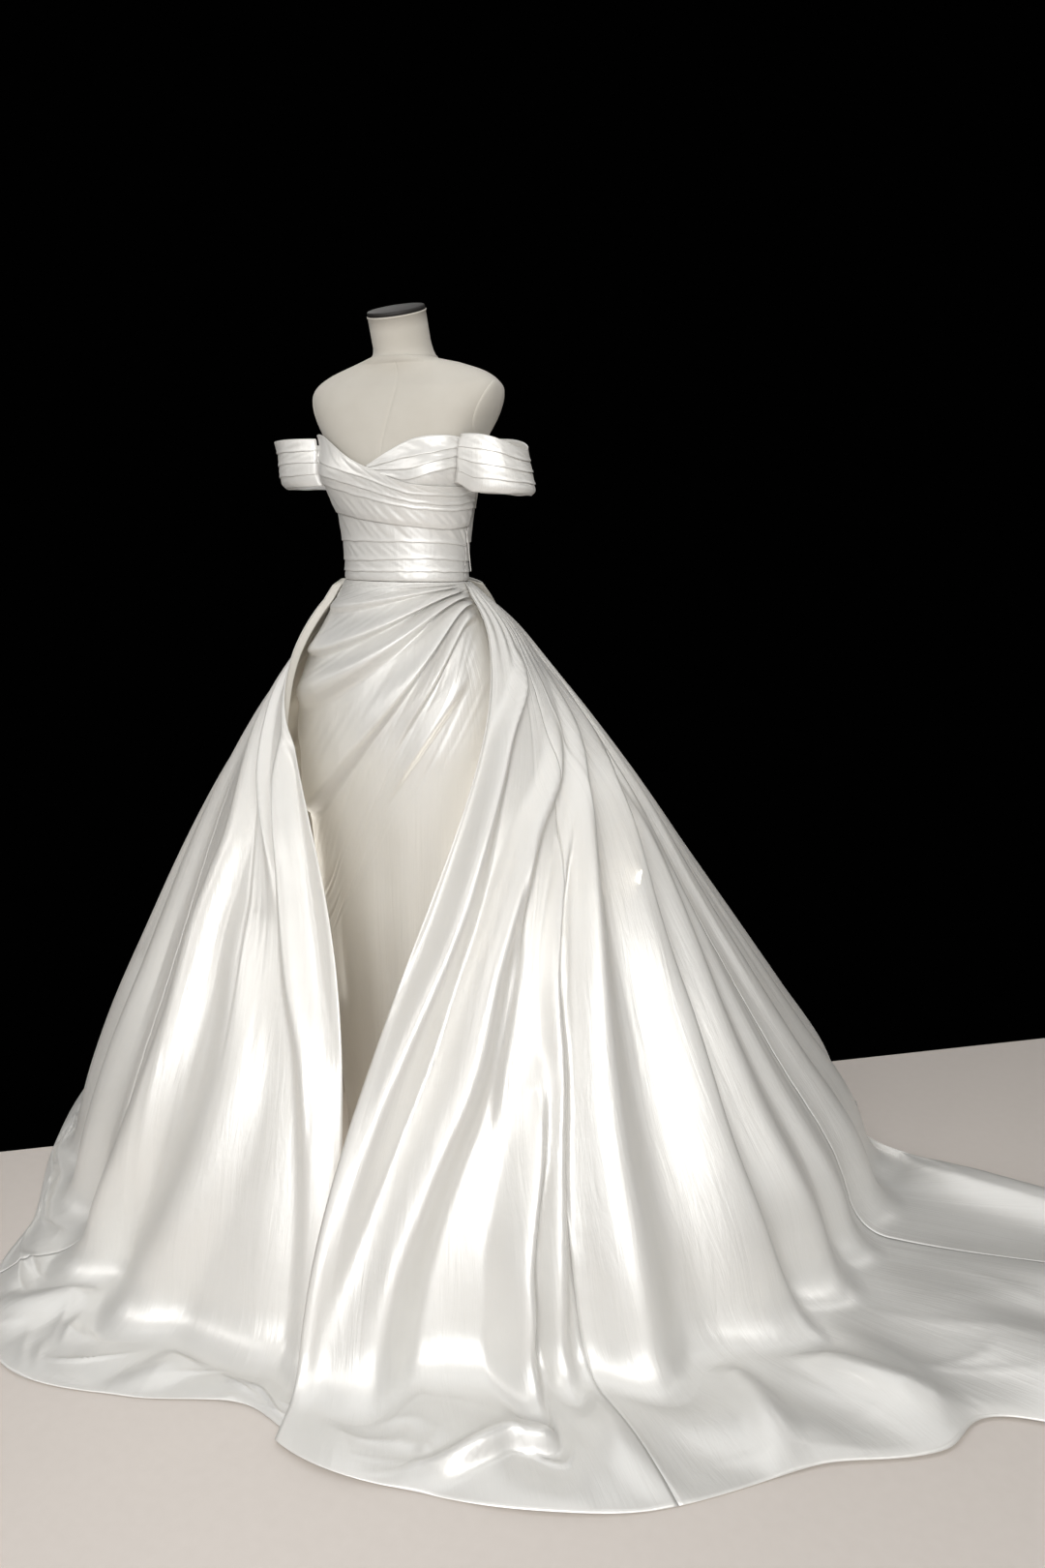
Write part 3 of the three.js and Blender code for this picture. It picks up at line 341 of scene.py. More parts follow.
# Folds that the photo shows on the two front panels: the level, place, stand and widths along each
# crest; "fore" is its width towards place 1 and "aft" towards place 0
FRONT_FOLDS = dict(
    right_edge=dict(z=[60, 600, 900, 1150], place=[0.000, 0.000, 0.000, 0.000], stand=[16, 14, 12, 2],
                    fore=0.013, aft=0.013),
    right_first=dict(z=[60, 217, 412, 538, 676, 822, 901, 1000], stand=[26, 28, 28, 28, 28, 26, 22, 10],
                     place=[0.010, 0.0115, 0.018, 0.0275, 0.0306, 0.0275, 0.010, 0.003],
                     fore=0.009, aft=0.018),
    right_crescent=dict(z=[600, 680, 746, 818, 892, 969, 1030], stand=[0, 8, 16, 20, 19, 13, 0],
                        place=[0.040, 0.043, 0.0481, 0.0536, 0.0526, 0.0536, 0.052], fore=0.009, aft=0.007),
    right_wide=dict(z=[60, 174, 250, 392, 527, 620], place=[0.078, 0.0686, 0.0641, 0.0591, 0.0631, 0.066],
                    stand=[38, 34, 31, 25, 14, 0], fore=0.021, aft=0.024),
    right_long=dict(z=[60, 104, 191, 272, 427, 576, 652, 731, 900, 1040],
                    place=[0.116, 0.1142, 0.1087, 0.1052, 0.1002, 0.0987, 0.0922, 0.0831, 0.078, 0.080],
                    stand=[52, 54, 54, 52, 46, 40, 34, 28, 20, 0], fore=0.024, aft=0.019),
    left_edge=dict(z=[60, 600, 900, 1150], place=[1.0, 1.0, 1.0, 1.0], stand=[8, 7, 5, 1], fore=0.009,
                   aft=0.007),
    left_first=dict(z=[60, 235, 355, 480, 620, 760, 835, 910, 980, 1030],
                    place=[0.997, 0.994, 0.9905, 0.985, 0.9795, 0.9805, 0.9795, 0.974, 0.946, 0.925],
                    stand=[34, 40, 44, 45, 43, 40, 37, 34, 26, 0], fore=0.017, aft=0.019),
    left_second=dict(z=[60, 165, 294, 416, 550, 690, 760, 830, 930],
                     place=[0.977, 0.972, 0.9625, 0.9524, 0.950, 0.9424, 0.934, 0.913, 0.890],
                     stand=[50, 50, 46, 42, 38, 34, 30, 22, 0], fore=0.018, aft=0.017),
    left_line=dict(z=[330, 360, 425, 554, 620, 690, 760], stand=[0, 5, 7, 7, 6, 4, 0],
                   place=[0.941, 0.940, 0.9385, 0.9345, 0.9365, 0.938, 0.938], fore=0.005, aft=0.005),
    left_roll=dict(z=[41, 102, 165, 224, 283, 346, 430], stand=[58, 58, 54, 48, 40, 26, 0],
                   place=[0.930, 0.9284, 0.9279, 0.9254, 0.9224, 0.9204, 0.918], fore=0.013, aft=0.0052),
    left_seam=dict(z=[60, 154, 281, 409, 552, 690, 800], stand=[26, 30, 30, 30, 28, 18, 0],
                   place=[0.9184, 0.9165, 0.9139, 0.9120, 0.9150, 0.910, 0.900], fore=0.007, aft=0.006),
    left_broad=dict(z=[60, 274, 414, 613, 755, 818, 890, 990], stand=[54, 48, 44, 40, 36, 30, 18, 0],
                    place=[0.895, 0.894, 0.894, 0.893, 0.892, 0.886, 0.866, 0.845],
                    fore=0.0175, aft=0.0175),
    left_third=dict(z=[60, 120, 230, 302, 438, 582, 731, 809, 890, 1000],
                    place=[0.850, 0.852, 0.8523, 0.8513, 0.849, 0.8498, 0.8453, 0.8400, 0.8200, 0.8100],
                    stand=[46, 48, 48, 46, 42, 38, 32, 26, 16, 0], fore=0.025, aft=0.0095),
    left_last=dict(z=[60, 289, 434, 500, 640, 800], place=[0.828, 0.828, 0.827, 0.825, 0.8198, 0.812],
                   stand=[36, 30, 28, 26, 20, 0], fore=0.014, aft=0.013),
)
FRONT_ZONE = dict(right=0.128, left=0.818, blend=0.016)


def fold_stand(place, z):
    down = clamp01((WAIST_Z - z) / WAIST_Z)
    plain = np.zeros_like(place * z)
    columns = ("place", "drift", "half", "waist", "hip", "hem")
    for at, drift, half, waist, hip, hem in zip(*(FOLDS[column] for column in columns)):
        above = mix(waist, hip, down / HIP_DOWN)
        below = mix(hip, hem, (down - HIP_DOWN) / (1 - HIP_DOWN))
        plain = plain + np.where(down < HIP_DOWN, above, below) * swell((place - at - drift * down) / half)
    shown_folds = np.zeros_like(plain)
    for fold in FRONT_FOLDS.values():
        beside = place - at_level(fold, "place", z)
        size = np.maximum(0, at_level(fold, "stand", z))
        size = np.where(z > fold["z"][-1], fold["stand"][-1], size)
        size = np.where(z < fold["z"][0], fold["stand"][0], size)
        shown_folds = shown_folds + size * swell(beside / np.where(beside > 0, fold["fore"], fold["aft"]))
    front = (1 - ease((place - FRONT_ZONE["right"]) / FRONT_ZONE["blend"])
             + ease((place - FRONT_ZONE["left"] + FRONT_ZONE["blend"]) / FRONT_ZONE["blend"]))
    return mix(plain, shown_folds, front)


def gathers(place, z):
    """Small pleats that run out of the waist seam and fade."""
    down = WAIST_Z - z
    fade = ease(down / GATHERS["grown"]) * (1 - ease((down - GATHERS["fade"]) / GATHERS["over"]))
    wave = np.sin(place * FULL_TURN * GATHERS["count"] + 1.7 * ripple(place * 9, 5))
    return GATHERS["stand"] * fade * wave * (0.75 + 0.5 * ripple(place * 14, 8))


def slack(place, z):
    """Uneven softness of the hanging cloth between its folds."""
    down = clamp01((WAIST_Z - z) / WAIST_Z)
    broad = ripple(place * 21 + 1.3 * down, 11) * SLACK["broad"] * down
    fine = np.sin(place * FULL_TURN * SLACK["count"] + 2.2 * ripple(place * 7 + down, 21))
    return broad + fine * SLACK["fine"] * down * (1 - 0.4 * down)


def creases(place, z):
    """Fine crisp lines that run down the wall, uneven in length, depth and spacing."""
    rng = np.random.default_rng(CREASES["seed"])
    stand = np.zeros_like(place * z)
    for _ in range(CREASES["count"]):
        middle, top = rng.uniform(*CREASES["middle"]), rng.uniform(*CREASES["top"])
        low = top - rng.uniform(*CREASES["long"])
        bend, half = rng.uniform(*CREASES["bend"]), rng.uniform(*CREASES["half"])
        size = rng.uniform(*CREASES["stand"]) * rng.choice([-1, 1])
        t = (z - low) / (top - low)
        beside = (place - middle - bend * (0.5 - t) ** 2) / half
        stand = stand + size * swell(2 * t - 1) * np.exp(-np.abs(beside))
    return stand * (1 - CREASES["calm"] * ease((place - CREASES["calm_from"]) / CREASES["calm_over"]))


def floor_creases(place, along):
    """Crisp short folds of the cloth on the floor, in many directions."""
    ranges = FLOOR_CREASES
    rng = np.random.default_rng(ranges["seed"])
    x, y = place * ranges["round"], along * ranges["out"]
    height = np.zeros_like(place * along)
    for _ in range(ranges["count"]):
        cx, cy = rng.uniform(0, 1) * ranges["round"], rng.uniform(0, 1) * ranges["out"]
        turn, long = rng.uniform(*ranges["turn"]), rng.uniform(*ranges["long"])
        wide, size = rng.uniform(*ranges["wide"]), rng.uniform(*ranges["height"])
        bend = rng.uniform(*ranges["bend"])
        forth = (x - cx) * math.cos(turn) + (y - cy) * math.sin(turn)
        beside = -(x - cx) * math.sin(turn) + (y - cy) * math.cos(turn) + forth ** 2 * bend
        height = height + size * swell(forth / long) * np.exp(-np.abs(beside) / wide)
    return height * np.sin(np.pi * np.clip(along, 0, 1)) ** 0.6


def seam_pull(place, z):
    """The dip along each gore seam, with the small puckers of its stitching."""
    pull = np.zeros_like(place * z)
    for k, (_, start, _) in enumerate(GORES[1:]):
        beside = np.exp(-((place - start) / SEAM_WIDTH) ** 2)
        wide = np.exp(-((place - start) / (PUCKER["spread"] * SEAM_WIDTH)) ** 2)
        wave = np.sin(z / PUCKER["every"] + 2 * ripple(z / PUCKER["run"], 70 + k))
        pull = pull - SEAM_DIP * beside + PUCKER["stand"] * wide * wave
    return pull


def lap_shift(place, z):
    low = ease((EDGE_LAP["height"] - z) / EDGE_LAP["height"] * 1.6)
    on_right = ease(1 - place / EDGE_LAP["width"])
    on_left = ease(1 - (1 - place) / EDGE_LAP["width"])
    return EDGE_LAP["apart"] * low * (on_left - on_right)


def wall_reach(place, z):
    return (plain_reach(skirt_angle(place, z), z) + fold_stand(place, z) + lap_shift(place, z)
            + gathers(place, z) + slack(place, z) + creases(place, z) + seam_pull(place, z))


def heap_height(place, along):
    height = np.zeros_like(place * along)
    at, heap = FOLDS["place"], FOLDS["heap"]
    for k in range(len(at) - 1):
        gap = at[k + 1] - at[k]
        slant = HEAP_SLANT * math.sin(k * HEAP_TURN) * (along - 0.5)
        middle = (at[k] + at[k + 1]) / 2 + slant * gap
        height = height + heap[k] * swell((place - middle) / (gap * HEAP_WIDTH))
    height = height * np.sin(np.pi * along * HEAP_END) ** 1.2
    for fold in FLOOR_FOLDS.values():
        beside = place - through(fold["along"], fold["place"], along)
        crest = np.maximum(0, through(fold["along"], fold["height"], along))
        grown = np.minimum(1, along * FLOOR_GROWN)
        height = height + crest * grown * swell(beside / np.where(beside > 0, fold["fore"], fold["aft"]))
    return height + floor_creases(place, along)


def skirt_point(place, drop):
    """The overskirt's outer face: drop 0 to 1 down the wall, to 2 round the turn, to 3 to the hem."""
    place, drop = np.broadcast_arrays(np.asarray(place, float), np.asarray(drop, float))
    top = FLOOR_REST + CLOTH
    wall_z = mix(WAIST_Z, TURN_Z, clamp01(drop))
    wall_r = wall_reach(place, wall_z)
    wall_angle = skirt_angle(place, wall_z)
    angle = skirt_angle(place, 0 * place)
    turn_z = np.full_like(place, TURN_Z)
    reach = wall_reach(place, turn_z)
    slope = (reach - wall_reach(place, turn_z + SLOPE_SPAN)) / SLOPE_SPAN
    corner = reach + slope * (TURN_Z - top)
    on_lap = ease((place - LAP_LIFT["start"]) / LAP_LIFT["over"])
    lift = LAP_LIFT["height"] * on_lap
    turned = np.clip((hem_reach(angle) - corner) * TURN_SHARE, FLOOR_LEAST * TURN_SHARE, TURN_REACH)
    k = clamp01(drop - 1)
    turn_r = (1 - k) ** 2 * reach + 2 * k * (1 - k) * corner + k * k * (corner + turned)
    turn_height = (1 - k) ** 2 * TURN_Z + (1 - (1 - k) ** 2) * (top + lift)
    turn_angle = mix(skirt_angle(place, turn_z), angle, k)
    along = clamp01(drop - 2)
    end = np.maximum(hem_reach(angle) + LAP_LIFT["reach"] * on_lap, corner + FLOOR_LEAST)
    floor_r = mix(corner + turned, end, along)
    floor_z = top + lift + heap_height(place, along)
    r = np.where(drop <= 1, wall_r, np.where(drop <= 2, turn_r, floor_r))
    z = np.where(drop <= 1, wall_z, np.where(drop <= 2, turn_height, floor_z))
    phi = np.radians(np.where(drop <= 1, wall_angle, np.where(drop <= 2, turn_angle, angle)))
    return np.stack([r * np.sin(phi), -r * np.cos(phi), z], -1)


# Materials
def node_material(name):
    material = bpy.data.materials.new(name)
    material.use_nodes = True
    tree = material.node_tree
    shader = tree.nodes["Principled BSDF"]
    return material, tree, shader


def set_inputs(node, **values):
    """Sets a node's inputs. An underscore stands for a space in an input's name."""
    for label, value in values.items():
        node.inputs[label.replace("_", " ")].default_value = value
    return node


def noise(tree, vector, **values):
    node = set_inputs(tree.nodes.new("ShaderNodeTexNoise"), **values)
    tree.links.new(vector, node.inputs["Vector"])
    return node.outputs["Fac"]


def stretched(tree, vector, scale):
    node = set_inputs(tree.nodes.new("ShaderNodeMapping"), Scale=scale)
    tree.links.new(vector, node.inputs["Vector"])
    return node.outputs["Vector"]


def two_tones(tree, fac, dark, light, shader):
    tone = tree.nodes.new("ShaderNodeValToRGB")
    for element, colour in zip(tone.color_ramp.elements, (dark, light)):
        element.color = (*colour, 1)
    tree.links.new(fac, tone.inputs["Fac"])
    tree.links.new(tone.outputs["Color"], shader.inputs["Base Color"])


def uneven_gloss(tree, fac, low, high, shader):
    gloss = set_inputs(tree.nodes.new("ShaderNodeMapRange"), To_Min=low, To_Max=high)
    tree.links.new(fac, gloss.inputs["Value"])
    tree.links.new(gloss.outputs["Result"], shader.inputs["Roughness"])


def relief(tree, height, strength, distance, under=None):
    """Bump from a height, laid over the one under it."""
    node = set_inputs(tree.nodes.new("ShaderNodeBump"), Strength=strength, Distance=distance)
    tree.links.new(height, node.inputs["Height"])
    if under is not None:
        tree.links.new(under, node.inputs["Normal"])
    return node.outputs["Normal"]


SATIN_FINISH = dict(Sheen_Weight=0.08, Sheen_Roughness=0.35, Specular_IOR_Level=0.9, IOR=1.62,
                    Anisotropic=0.5, Metallic=0.27)
SATIN_DARK = (0.965, 0.955, 0.94)    # shares of the tint in its darkest and lightest places
SATIN_LIGHT = 1.02


def satin(name, tint=(0.815, 0.813, 0.797), roughness=0.41):
    """Heavy bridal satin: a close weave, a soft gloss and a little unevenness."""
    material, tree, shader = node_material(name)
    nodes, links = tree.nodes, tree.links
    set_inputs(shader, **SATIN_FINISH)
    place = nodes.new("ShaderNodeTexCoord").outputs
    weave = noise(tree, stretched(tree, place["UV"], (1800, 420, 1)), Scale=1.0, Detail=1.0)
    cloud = noise(tree, place["Object"], Scale=9.0, Detail=4.0)
    dark = [tone * share for tone, share in zip(tint, SATIN_DARK)]
    two_tones(tree, cloud, dark, [tone * SATIN_LIGHT for tone in tint], shader)
    uneven_gloss(tree, cloud, roughness - 0.05, roughness + 0.06, shader)
    woven = relief(tree, weave, 0.12, 0.0002)
    soft = noise(tree, place["Object"], Scale=26.0, Detail=3.0)
    crumpled = relief(tree, soft, 0.10, 0.004, woven)
    drawn = stretched(tree, place["UV"], (46, 5, 1))
    streak = noise(tree, drawn, Scale=1.0, Detail=5.0, Roughness=0.62, Distortion=0.6)
    links.new(relief(tree, streak, 0.22, 0.006, crumpled), shader.inputs["Normal"])
    glow = set_inputs(nodes.new("ShaderNodeBsdfTranslucent"), Color=(0.95, 0.88, 0.74, 1))
    links.new(crumpled, glow.inputs["Normal"])
    through_cloth = set_inputs(nodes.new("ShaderNodeMixShader"), Fac=0.16)
    links.new(shader.outputs["BSDF"], through_cloth.inputs[1])
    links.new(glow.outputs["BSDF"], through_cloth.inputs[2])
    links.new(through_cloth.outputs["Shader"], nodes["Material Output"].inputs["Surface"])
    return material


def linen(name):
    """Plain woven cover of the form."""
    material, tree, shader = node_material(name)
    set_inputs(shader, Roughness=0.82, Sheen_Weight=0.15)
    place = tree.nodes.new("ShaderNodeTexCoord").outputs["Object"]
    cross = tree.nodes.new("ShaderNodeMath")
    cross.operation = "MULTIPLY"
    for k, direction in enumerate(("X", "Z")):
        thread = tree.nodes.new("ShaderNodeTexWave")
        set_inputs(thread, Scale=480.0, Distortion=1.5, Detail_Scale=3.0)
        thread.bands_direction = direction
        tree.links.new(place, thread.inputs["Vector"])
        tree.links.new(thread.outputs["Fac"], cross.inputs[k])
    cloud = noise(tree, place, Scale=14.0, Detail=6.0)
    two_tones(tree, cloud, (0.46, 0.43, 0.375), (0.54, 0.515, 0.465), shader)
    tree.links.new(relief(tree, cross.outputs["Value"], 0.25, 0.0003), shader.inputs["Normal"])
    return material


def painted(name, dark, light, roughness):
    """Paint or lacquer with a fine grain and slight wear."""
    material, tree, shader = node_material(name)
    place = tree.nodes.new("ShaderNodeTexCoord").outputs["Object"]
    grain = noise(tree, place, Scale=60.0, Detail=5.0)
    two_tones(tree, grain, dark, light, shader)
    uneven_gloss(tree, grain, roughness - 0.06, roughness + 0.08, shader)
    tree.links.new(relief(tree, grain, 0.08, 0.0003), shader.inputs["Normal"])
    return material


SATIN = satin("bridal satin")
# Inner side of the overskirt and the bow's loops: rougher, as the duller wrong side of satin, and darker and
# warmer in tint as painted shade of those hollows
SATIN_DULL_AND_SHADE = satin("satin wrong side with painted shade", tint=(0.74, 0.72, 0.67), roughness=0.5)
LINEN = linen("form linen")
CAP = painted("neck cap", (0.008, 0.007, 0.006), (0.014, 0.012, 0.011), 0.6)
STEEL = painted("stand paint", (0.05, 0.05, 0.055), (0.09, 0.09, 0.095), 0.45)
THREAD = painted("sewing thread", (0.60, 0.58, 0.54), (0.72, 0.70, 0.66), 0.5)


# Meshes
def grid_piece(name, points, material, closed=False, shell=SHELL, inner=None):
    """A sheet through a grid of points in millimetres, with a UV map in metres.

    inner is the material of its inner side, where that differs."""
    points = np.asarray(points, float) * MM
    across, down = points.shape[:2]
    mesh = bpy.data.meshes.new(name)
    i, j = np.meshgrid(np.arange(across if closed else across - 1), np.arange(down - 1), indexing="ij")
    right = (i + 1) % across
    corners = np.stack([i * down + j, right * down + j, right * down + j + 1, i * down + j + 1], -1)
    corners = corners.reshape(-1, 4)
    mesh.vertices.add(across * down)
    mesh.vertices.foreach_set("co", points.reshape(-1))
    mesh.loops.add(corners.size)
    mesh.loops.foreach_set("vertex_index", corners.reshape(-1).astype(np.int32))
    mesh.polygons.add(len(corners))
    mesh.polygons.foreach_set("loop_start", np.arange(0, corners.size, 4, dtype=np.int32))
    mesh.polygons.foreach_set("loop_total", np.full(len(corners), 4, dtype=np.int32))
    mesh.update(calc_edges=True)
    mesh.validate()
    u = np.concatenate([[0], np.cumsum(np.linalg.norm(np.diff(points[:, down // 2], axis=0), axis=1))])
    v = np.concatenate([[0], np.cumsum(np.linalg.norm(np.diff(points[across // 2], axis=0), axis=1))])
    u_next = np.concatenate([u[1:], [u[-1] + u[1]]])
    left_u, right_u, low_v, high_v = u[i], u_next[i], v[j], v[j + 1]
    uv = np.stack([left_u, low_v, right_u, low_v, right_u, high_v, left_u, high_v], -1)
    layer = mesh.uv_layers.new(name="cloth")
    layer.data.foreach_set("uv", uv.reshape(-1))
    for polygon in mesh.polygons:
        polygon.use_smooth = True
    mesh.materials.append(material)
    piece = bpy.data.objects.new(name, mesh)
    bpy.context.collection.objects.link(piece)
    if shell:
        thick = piece.modifiers.new("thickness", "SOLIDIFY")
        thick.thickness = shell * MM
        thick.offset = -1
        thick.use_rim = True
        if inner:
            mesh.materials.append(inner)
            thick.material_offset = 1
    return piece


def spread(start, end, count):
    return np.linspace(start, end, count + 1)


def shown(piece, slot, *nodes):
    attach(piece, "root")
    if nodes:
        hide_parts(*nodes)


def tube_piece(name, path, radius, material, sides=8):
    """A closed thin cord along a path of points in millimetres."""
    path = np.asarray(path, float)
    ahead = np.gradient(path, axis=0)
    ahead /= np.linalg.norm(ahead, axis=1)[:, None]
    side = np.cross(ahead, (0.0, 0.0, 1.0))
    side /= np.linalg.norm(side, axis=1)[:, None]
    up = np.cross(side, ahead)
    turn = np.radians(spread(0, 360, sides)[:-1])
    size = np.full(len(path), radius)
    size[0] = size[-1] = 0.02 * radius
    ring = side[None] * np.cos(turn)[:, None, None] + up[None] * np.sin(turn)[:, None, None]
    return grid_piece(name, path[None] + ring * size[None, :, None], material, closed=True, shell=0)


def stitch_tree():
    """Geometry nodes that lay a row of short stitches along a path."""
    tree = bpy.data.node_groups.new("stitch row", "GeometryNodeTree")
    face = tree.interface
    face.new_socket("Geometry", in_out="INPUT", socket_type="NodeSocketGeometry")
    for label in ("Spacing", "Length", "Thickness"):
        face.new_socket(label, in_out="INPUT", socket_type="NodeSocketFloat")
    face.new_socket("Thread", in_out="INPUT", socket_type="NodeSocketMaterial")
    face.new_socket("Geometry", in_out="OUTPUT", socket_type="NodeSocketGeometry")
    nodes, links = tree.nodes, tree.links
    start = nodes.new("NodeGroupInput")
    end = nodes.new("NodeGroupOutput")
    to_curve = nodes.new("GeometryNodeMeshToCurve")
    resample = nodes.new("GeometryNodeResampleCurve")
    resample.mode = "LENGTH"
    stitch = set_inputs(nodes.new("GeometryNodeMeshUVSphere"), Segments=6, Rings=5, Radius=0.5)
    size = nodes.new("ShaderNodeCombineXYZ")
    along = nodes.new("GeometryNodeInputTangent")
    align = nodes.new("FunctionNodeAlignRotationToVector")
    align.axis = "Z"
    wander = nodes.new("FunctionNodeRandomValue")
    wander.data_type = "FLOAT"
    wander.inputs["Min"].default_value = 0.85
    wander.inputs["Max"].default_value = 1.12
    wander.inputs["Seed"].default_value = 4
    scaled = nodes.new("ShaderNodeVectorMath")
    scaled.operation = "SCALE"
    place = nodes.new("GeometryNodeInstanceOnPoints")
    real = nodes.new("GeometryNodeRealizeInstances")
    dress = nodes.new("GeometryNodeSetMaterial")
    for node, output, target, entry in (
            (start, "Geometry", to_curve, "Mesh"), (to_curve, "Curve", resample, "Curve"),
            (start, "Spacing", resample, "Length"), (start, "Thickness", size, "X"),
            (start, "Thickness", size, "Y"), (start, "Length", size, "Z"), (size, "Vector", scaled, 0),
            (wander, 1, scaled, "Scale"), (along, "Tangent", align, "Vector"),
            (resample, "Curve", place, "Points"), (stitch, "Mesh", place, "Instance"),
            (align, "Rotation", place, "Rotation"), (scaled, "Vector", place, "Scale"),
            (place, "Instances", real, "Geometry"), (real, "Geometry", dress, "Geometry"),
            (start, "Thread", dress, "Material"), (dress, "Geometry", end, "Geometry")):
        links.new(node.outputs[output], target.inputs[entry])
    return tree


def stitch_row(name, path, slot, tree, spacing=3.2, length=2.3, thickness=0.55):
    """A row of stitches along a path of points in millimetres, as a plain mesh."""
    path = np.asarray(path, float) * MM
    line = bpy.data.meshes.new(name + "_path")
    line.from_pydata([tuple(p) for p in path], [(k, k + 1) for k in range(len(path) - 1)], [])
    guide = bpy.data.objects.new(name + "_path", line)
    bpy.context.collection.objects.link(guide)
    modifier = guide.modifiers.new("stitches", "NODES")
    modifier.node_group = tree
    inputs = {item.name: item.identifier for item in tree.interface.items_tree if item.in_out == "INPUT"}
    modifier[inputs["Spacing"]] = spacing * MM
    modifier[inputs["Length"]] = length * MM
    modifier[inputs["Thickness"]] = thickness * MM
    modifier[inputs["Thread"]] = THREAD
    bpy.context.view_layer.update()
    evaluated = guide.evaluated_get(bpy.context.evaluated_depsgraph_get())
    mesh = bpy.data.meshes.new_from_object(evaluated)
    mesh.name = name
    bpy.data.objects.remove(guide)
    row = bpy.data.objects.new(name, mesh)
    bpy.context.collection.objects.link(row)
    shown(row, slot)
    return row


# Dress form
CENTRE_SEAM = 4.0                # angle of the seam down the front of the form
SEAM_GROOVE = dict(depth=0.9, half=0.55)
ARM_PLATE = dict(angle=90, z=1456, half_angle=23, half_height=51, stand=1.8)
# Outline of an arm plate from its middle (0) to its edge (1), and its share of the stand there
PLATE_EDGE = dict(out=[0.001, 0.3, 0.6, 0.85, 0.95, 0.99, 1.0], stand=[1, 1, 1, 1, 0.85, 0.35, -0.4])
NECK_FOOT = (0.0, 6.0, 1546.0)
# Outline of the neck up its axis, with a groove at its foot and a rim at its top
NECK = dict(
    up=[3, 4.2, 4.8, 5.4, 6, 10, 16, 23, 30, 45, 60, 80.6, 81, 83.4, 84],
    radius=[66, 64, 62, 61.9, 62.2, 58, 55.5, 54, 53, 53, 53, 53, 54.2, 54.2, 53.4],
)


def neck_ring(around, up, radius, tip):
    """A ring round the neck's axis, up from its foot and tipped forward."""
    x = radius * np.sin(np.radians(around))
    y = -radius * np.cos(np.radians(around))
    lean = math.radians(NECK_LEAN)
    axis = np.array([0, -math.sin(lean), math.cos(lean)])
    return np.stack([x, y * math.cos(tip), y * math.sin(tip)], -1) + NECK_FOOT + axis * up


def build_form():
    near = np.array([-3, -1.2, -0.5, 0, 0.5, 1.2, 3]) + CENTRE_SEAM
    around = np.unique(np.concatenate([spread(0, 360, 144)[:-1], near]))
    seam = -SEAM_GROOVE["depth"] * np.exp(-((around - CENTRE_SEAM) / SEAM_GROOVE["half"]) ** 2)
    low, high = BODY["z"][0], BODY["z"][-1]
    levels = np.concatenate([spread(low, 884, 6)[:-1], spread(884, 1480, 90)[:-1], spread(1480, high, 16)])
    rings = [np.stack([0 * around, 0 * around, 0 * around + low], -1)]
    rings += [body_point(around, z, seam) for z in levels]
    lean = math.radians(NECK_LEAN)
    for up, radius in zip(NECK["up"], NECK["radius"]):
        rings.append(neck_ring(around, up, radius, lean * min(up / NECK_BEND, 1)))
    form = grid_piece("form_torso", np.stack(rings, 1), LINEN, closed=True, shell=0)
    shown(form, "linen", "form_body")
    turns = spread(0, 360, 72)[:-1]
    for side, hand in (("left", 1), ("right", -1)):
        plate_rings = []
        for out, stand in zip(PLATE_EDGE["out"], PLATE_EDGE["stand"]):
            angle = ARM_PLATE["angle"] + ARM_PLATE["half_angle"] * out * np.cos(np.radians(turns))
            z = ARM_PLATE["z"] + ARM_PLATE["half_height"] * out * np.sin(np.radians(turns))
            ring = body_point(angle, z, ARM_PLATE["stand"] * stand)
            ring[:, 0] *= hand
            plate_rings.append(ring)
        points = np.stack(plate_rings, 1)
        if hand < 0:
            points = points[::-1]
        plate = grid_piece("form_arm_plate_" + side, points, LINEN, closed=True, shell=0)
        shown(plate, "linen")
    around = spread(0, 360, 96)[:-1]
    outline = ((0, NECK_RADIUS), (0, 1.2), (1, 0.2), (CAP_THICK - 2, 0.2), (CAP_THICK - 0.5, 1.2),
               (CAP_THICK, 3), (CAP_THICK, NECK_RADIUS))
    cap_rings = [neck_ring(around, NECK_LENGTH + SEAM_GAP + up, NECK_RADIUS - inset, lean)
                 for up, inset in outline]
    cap = grid_piece("form_cap", np.stack(cap_rings, 1), CAP, closed=True, shell=0)
    shown(cap, "dark_cap", "form_neck_cap")
    for name in ("stand_pole", "stand_base"):
        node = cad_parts[name]
        node.data.materials.clear()
        node.data.materials.append(STEEL)


# Bodice
# The section of a pressed tuck: height above its edge, and how far it stands out as a share
TUCK_PATH = [(-0.3, 0.0), (0.5, 0.12), (0.9, 0.4), (0.3, 0.62), (-0.7, 0.72), (-1.1, 0.9), (-0.7, 1.08),
             (0.6, 1.1), (2.0, 1.02)]


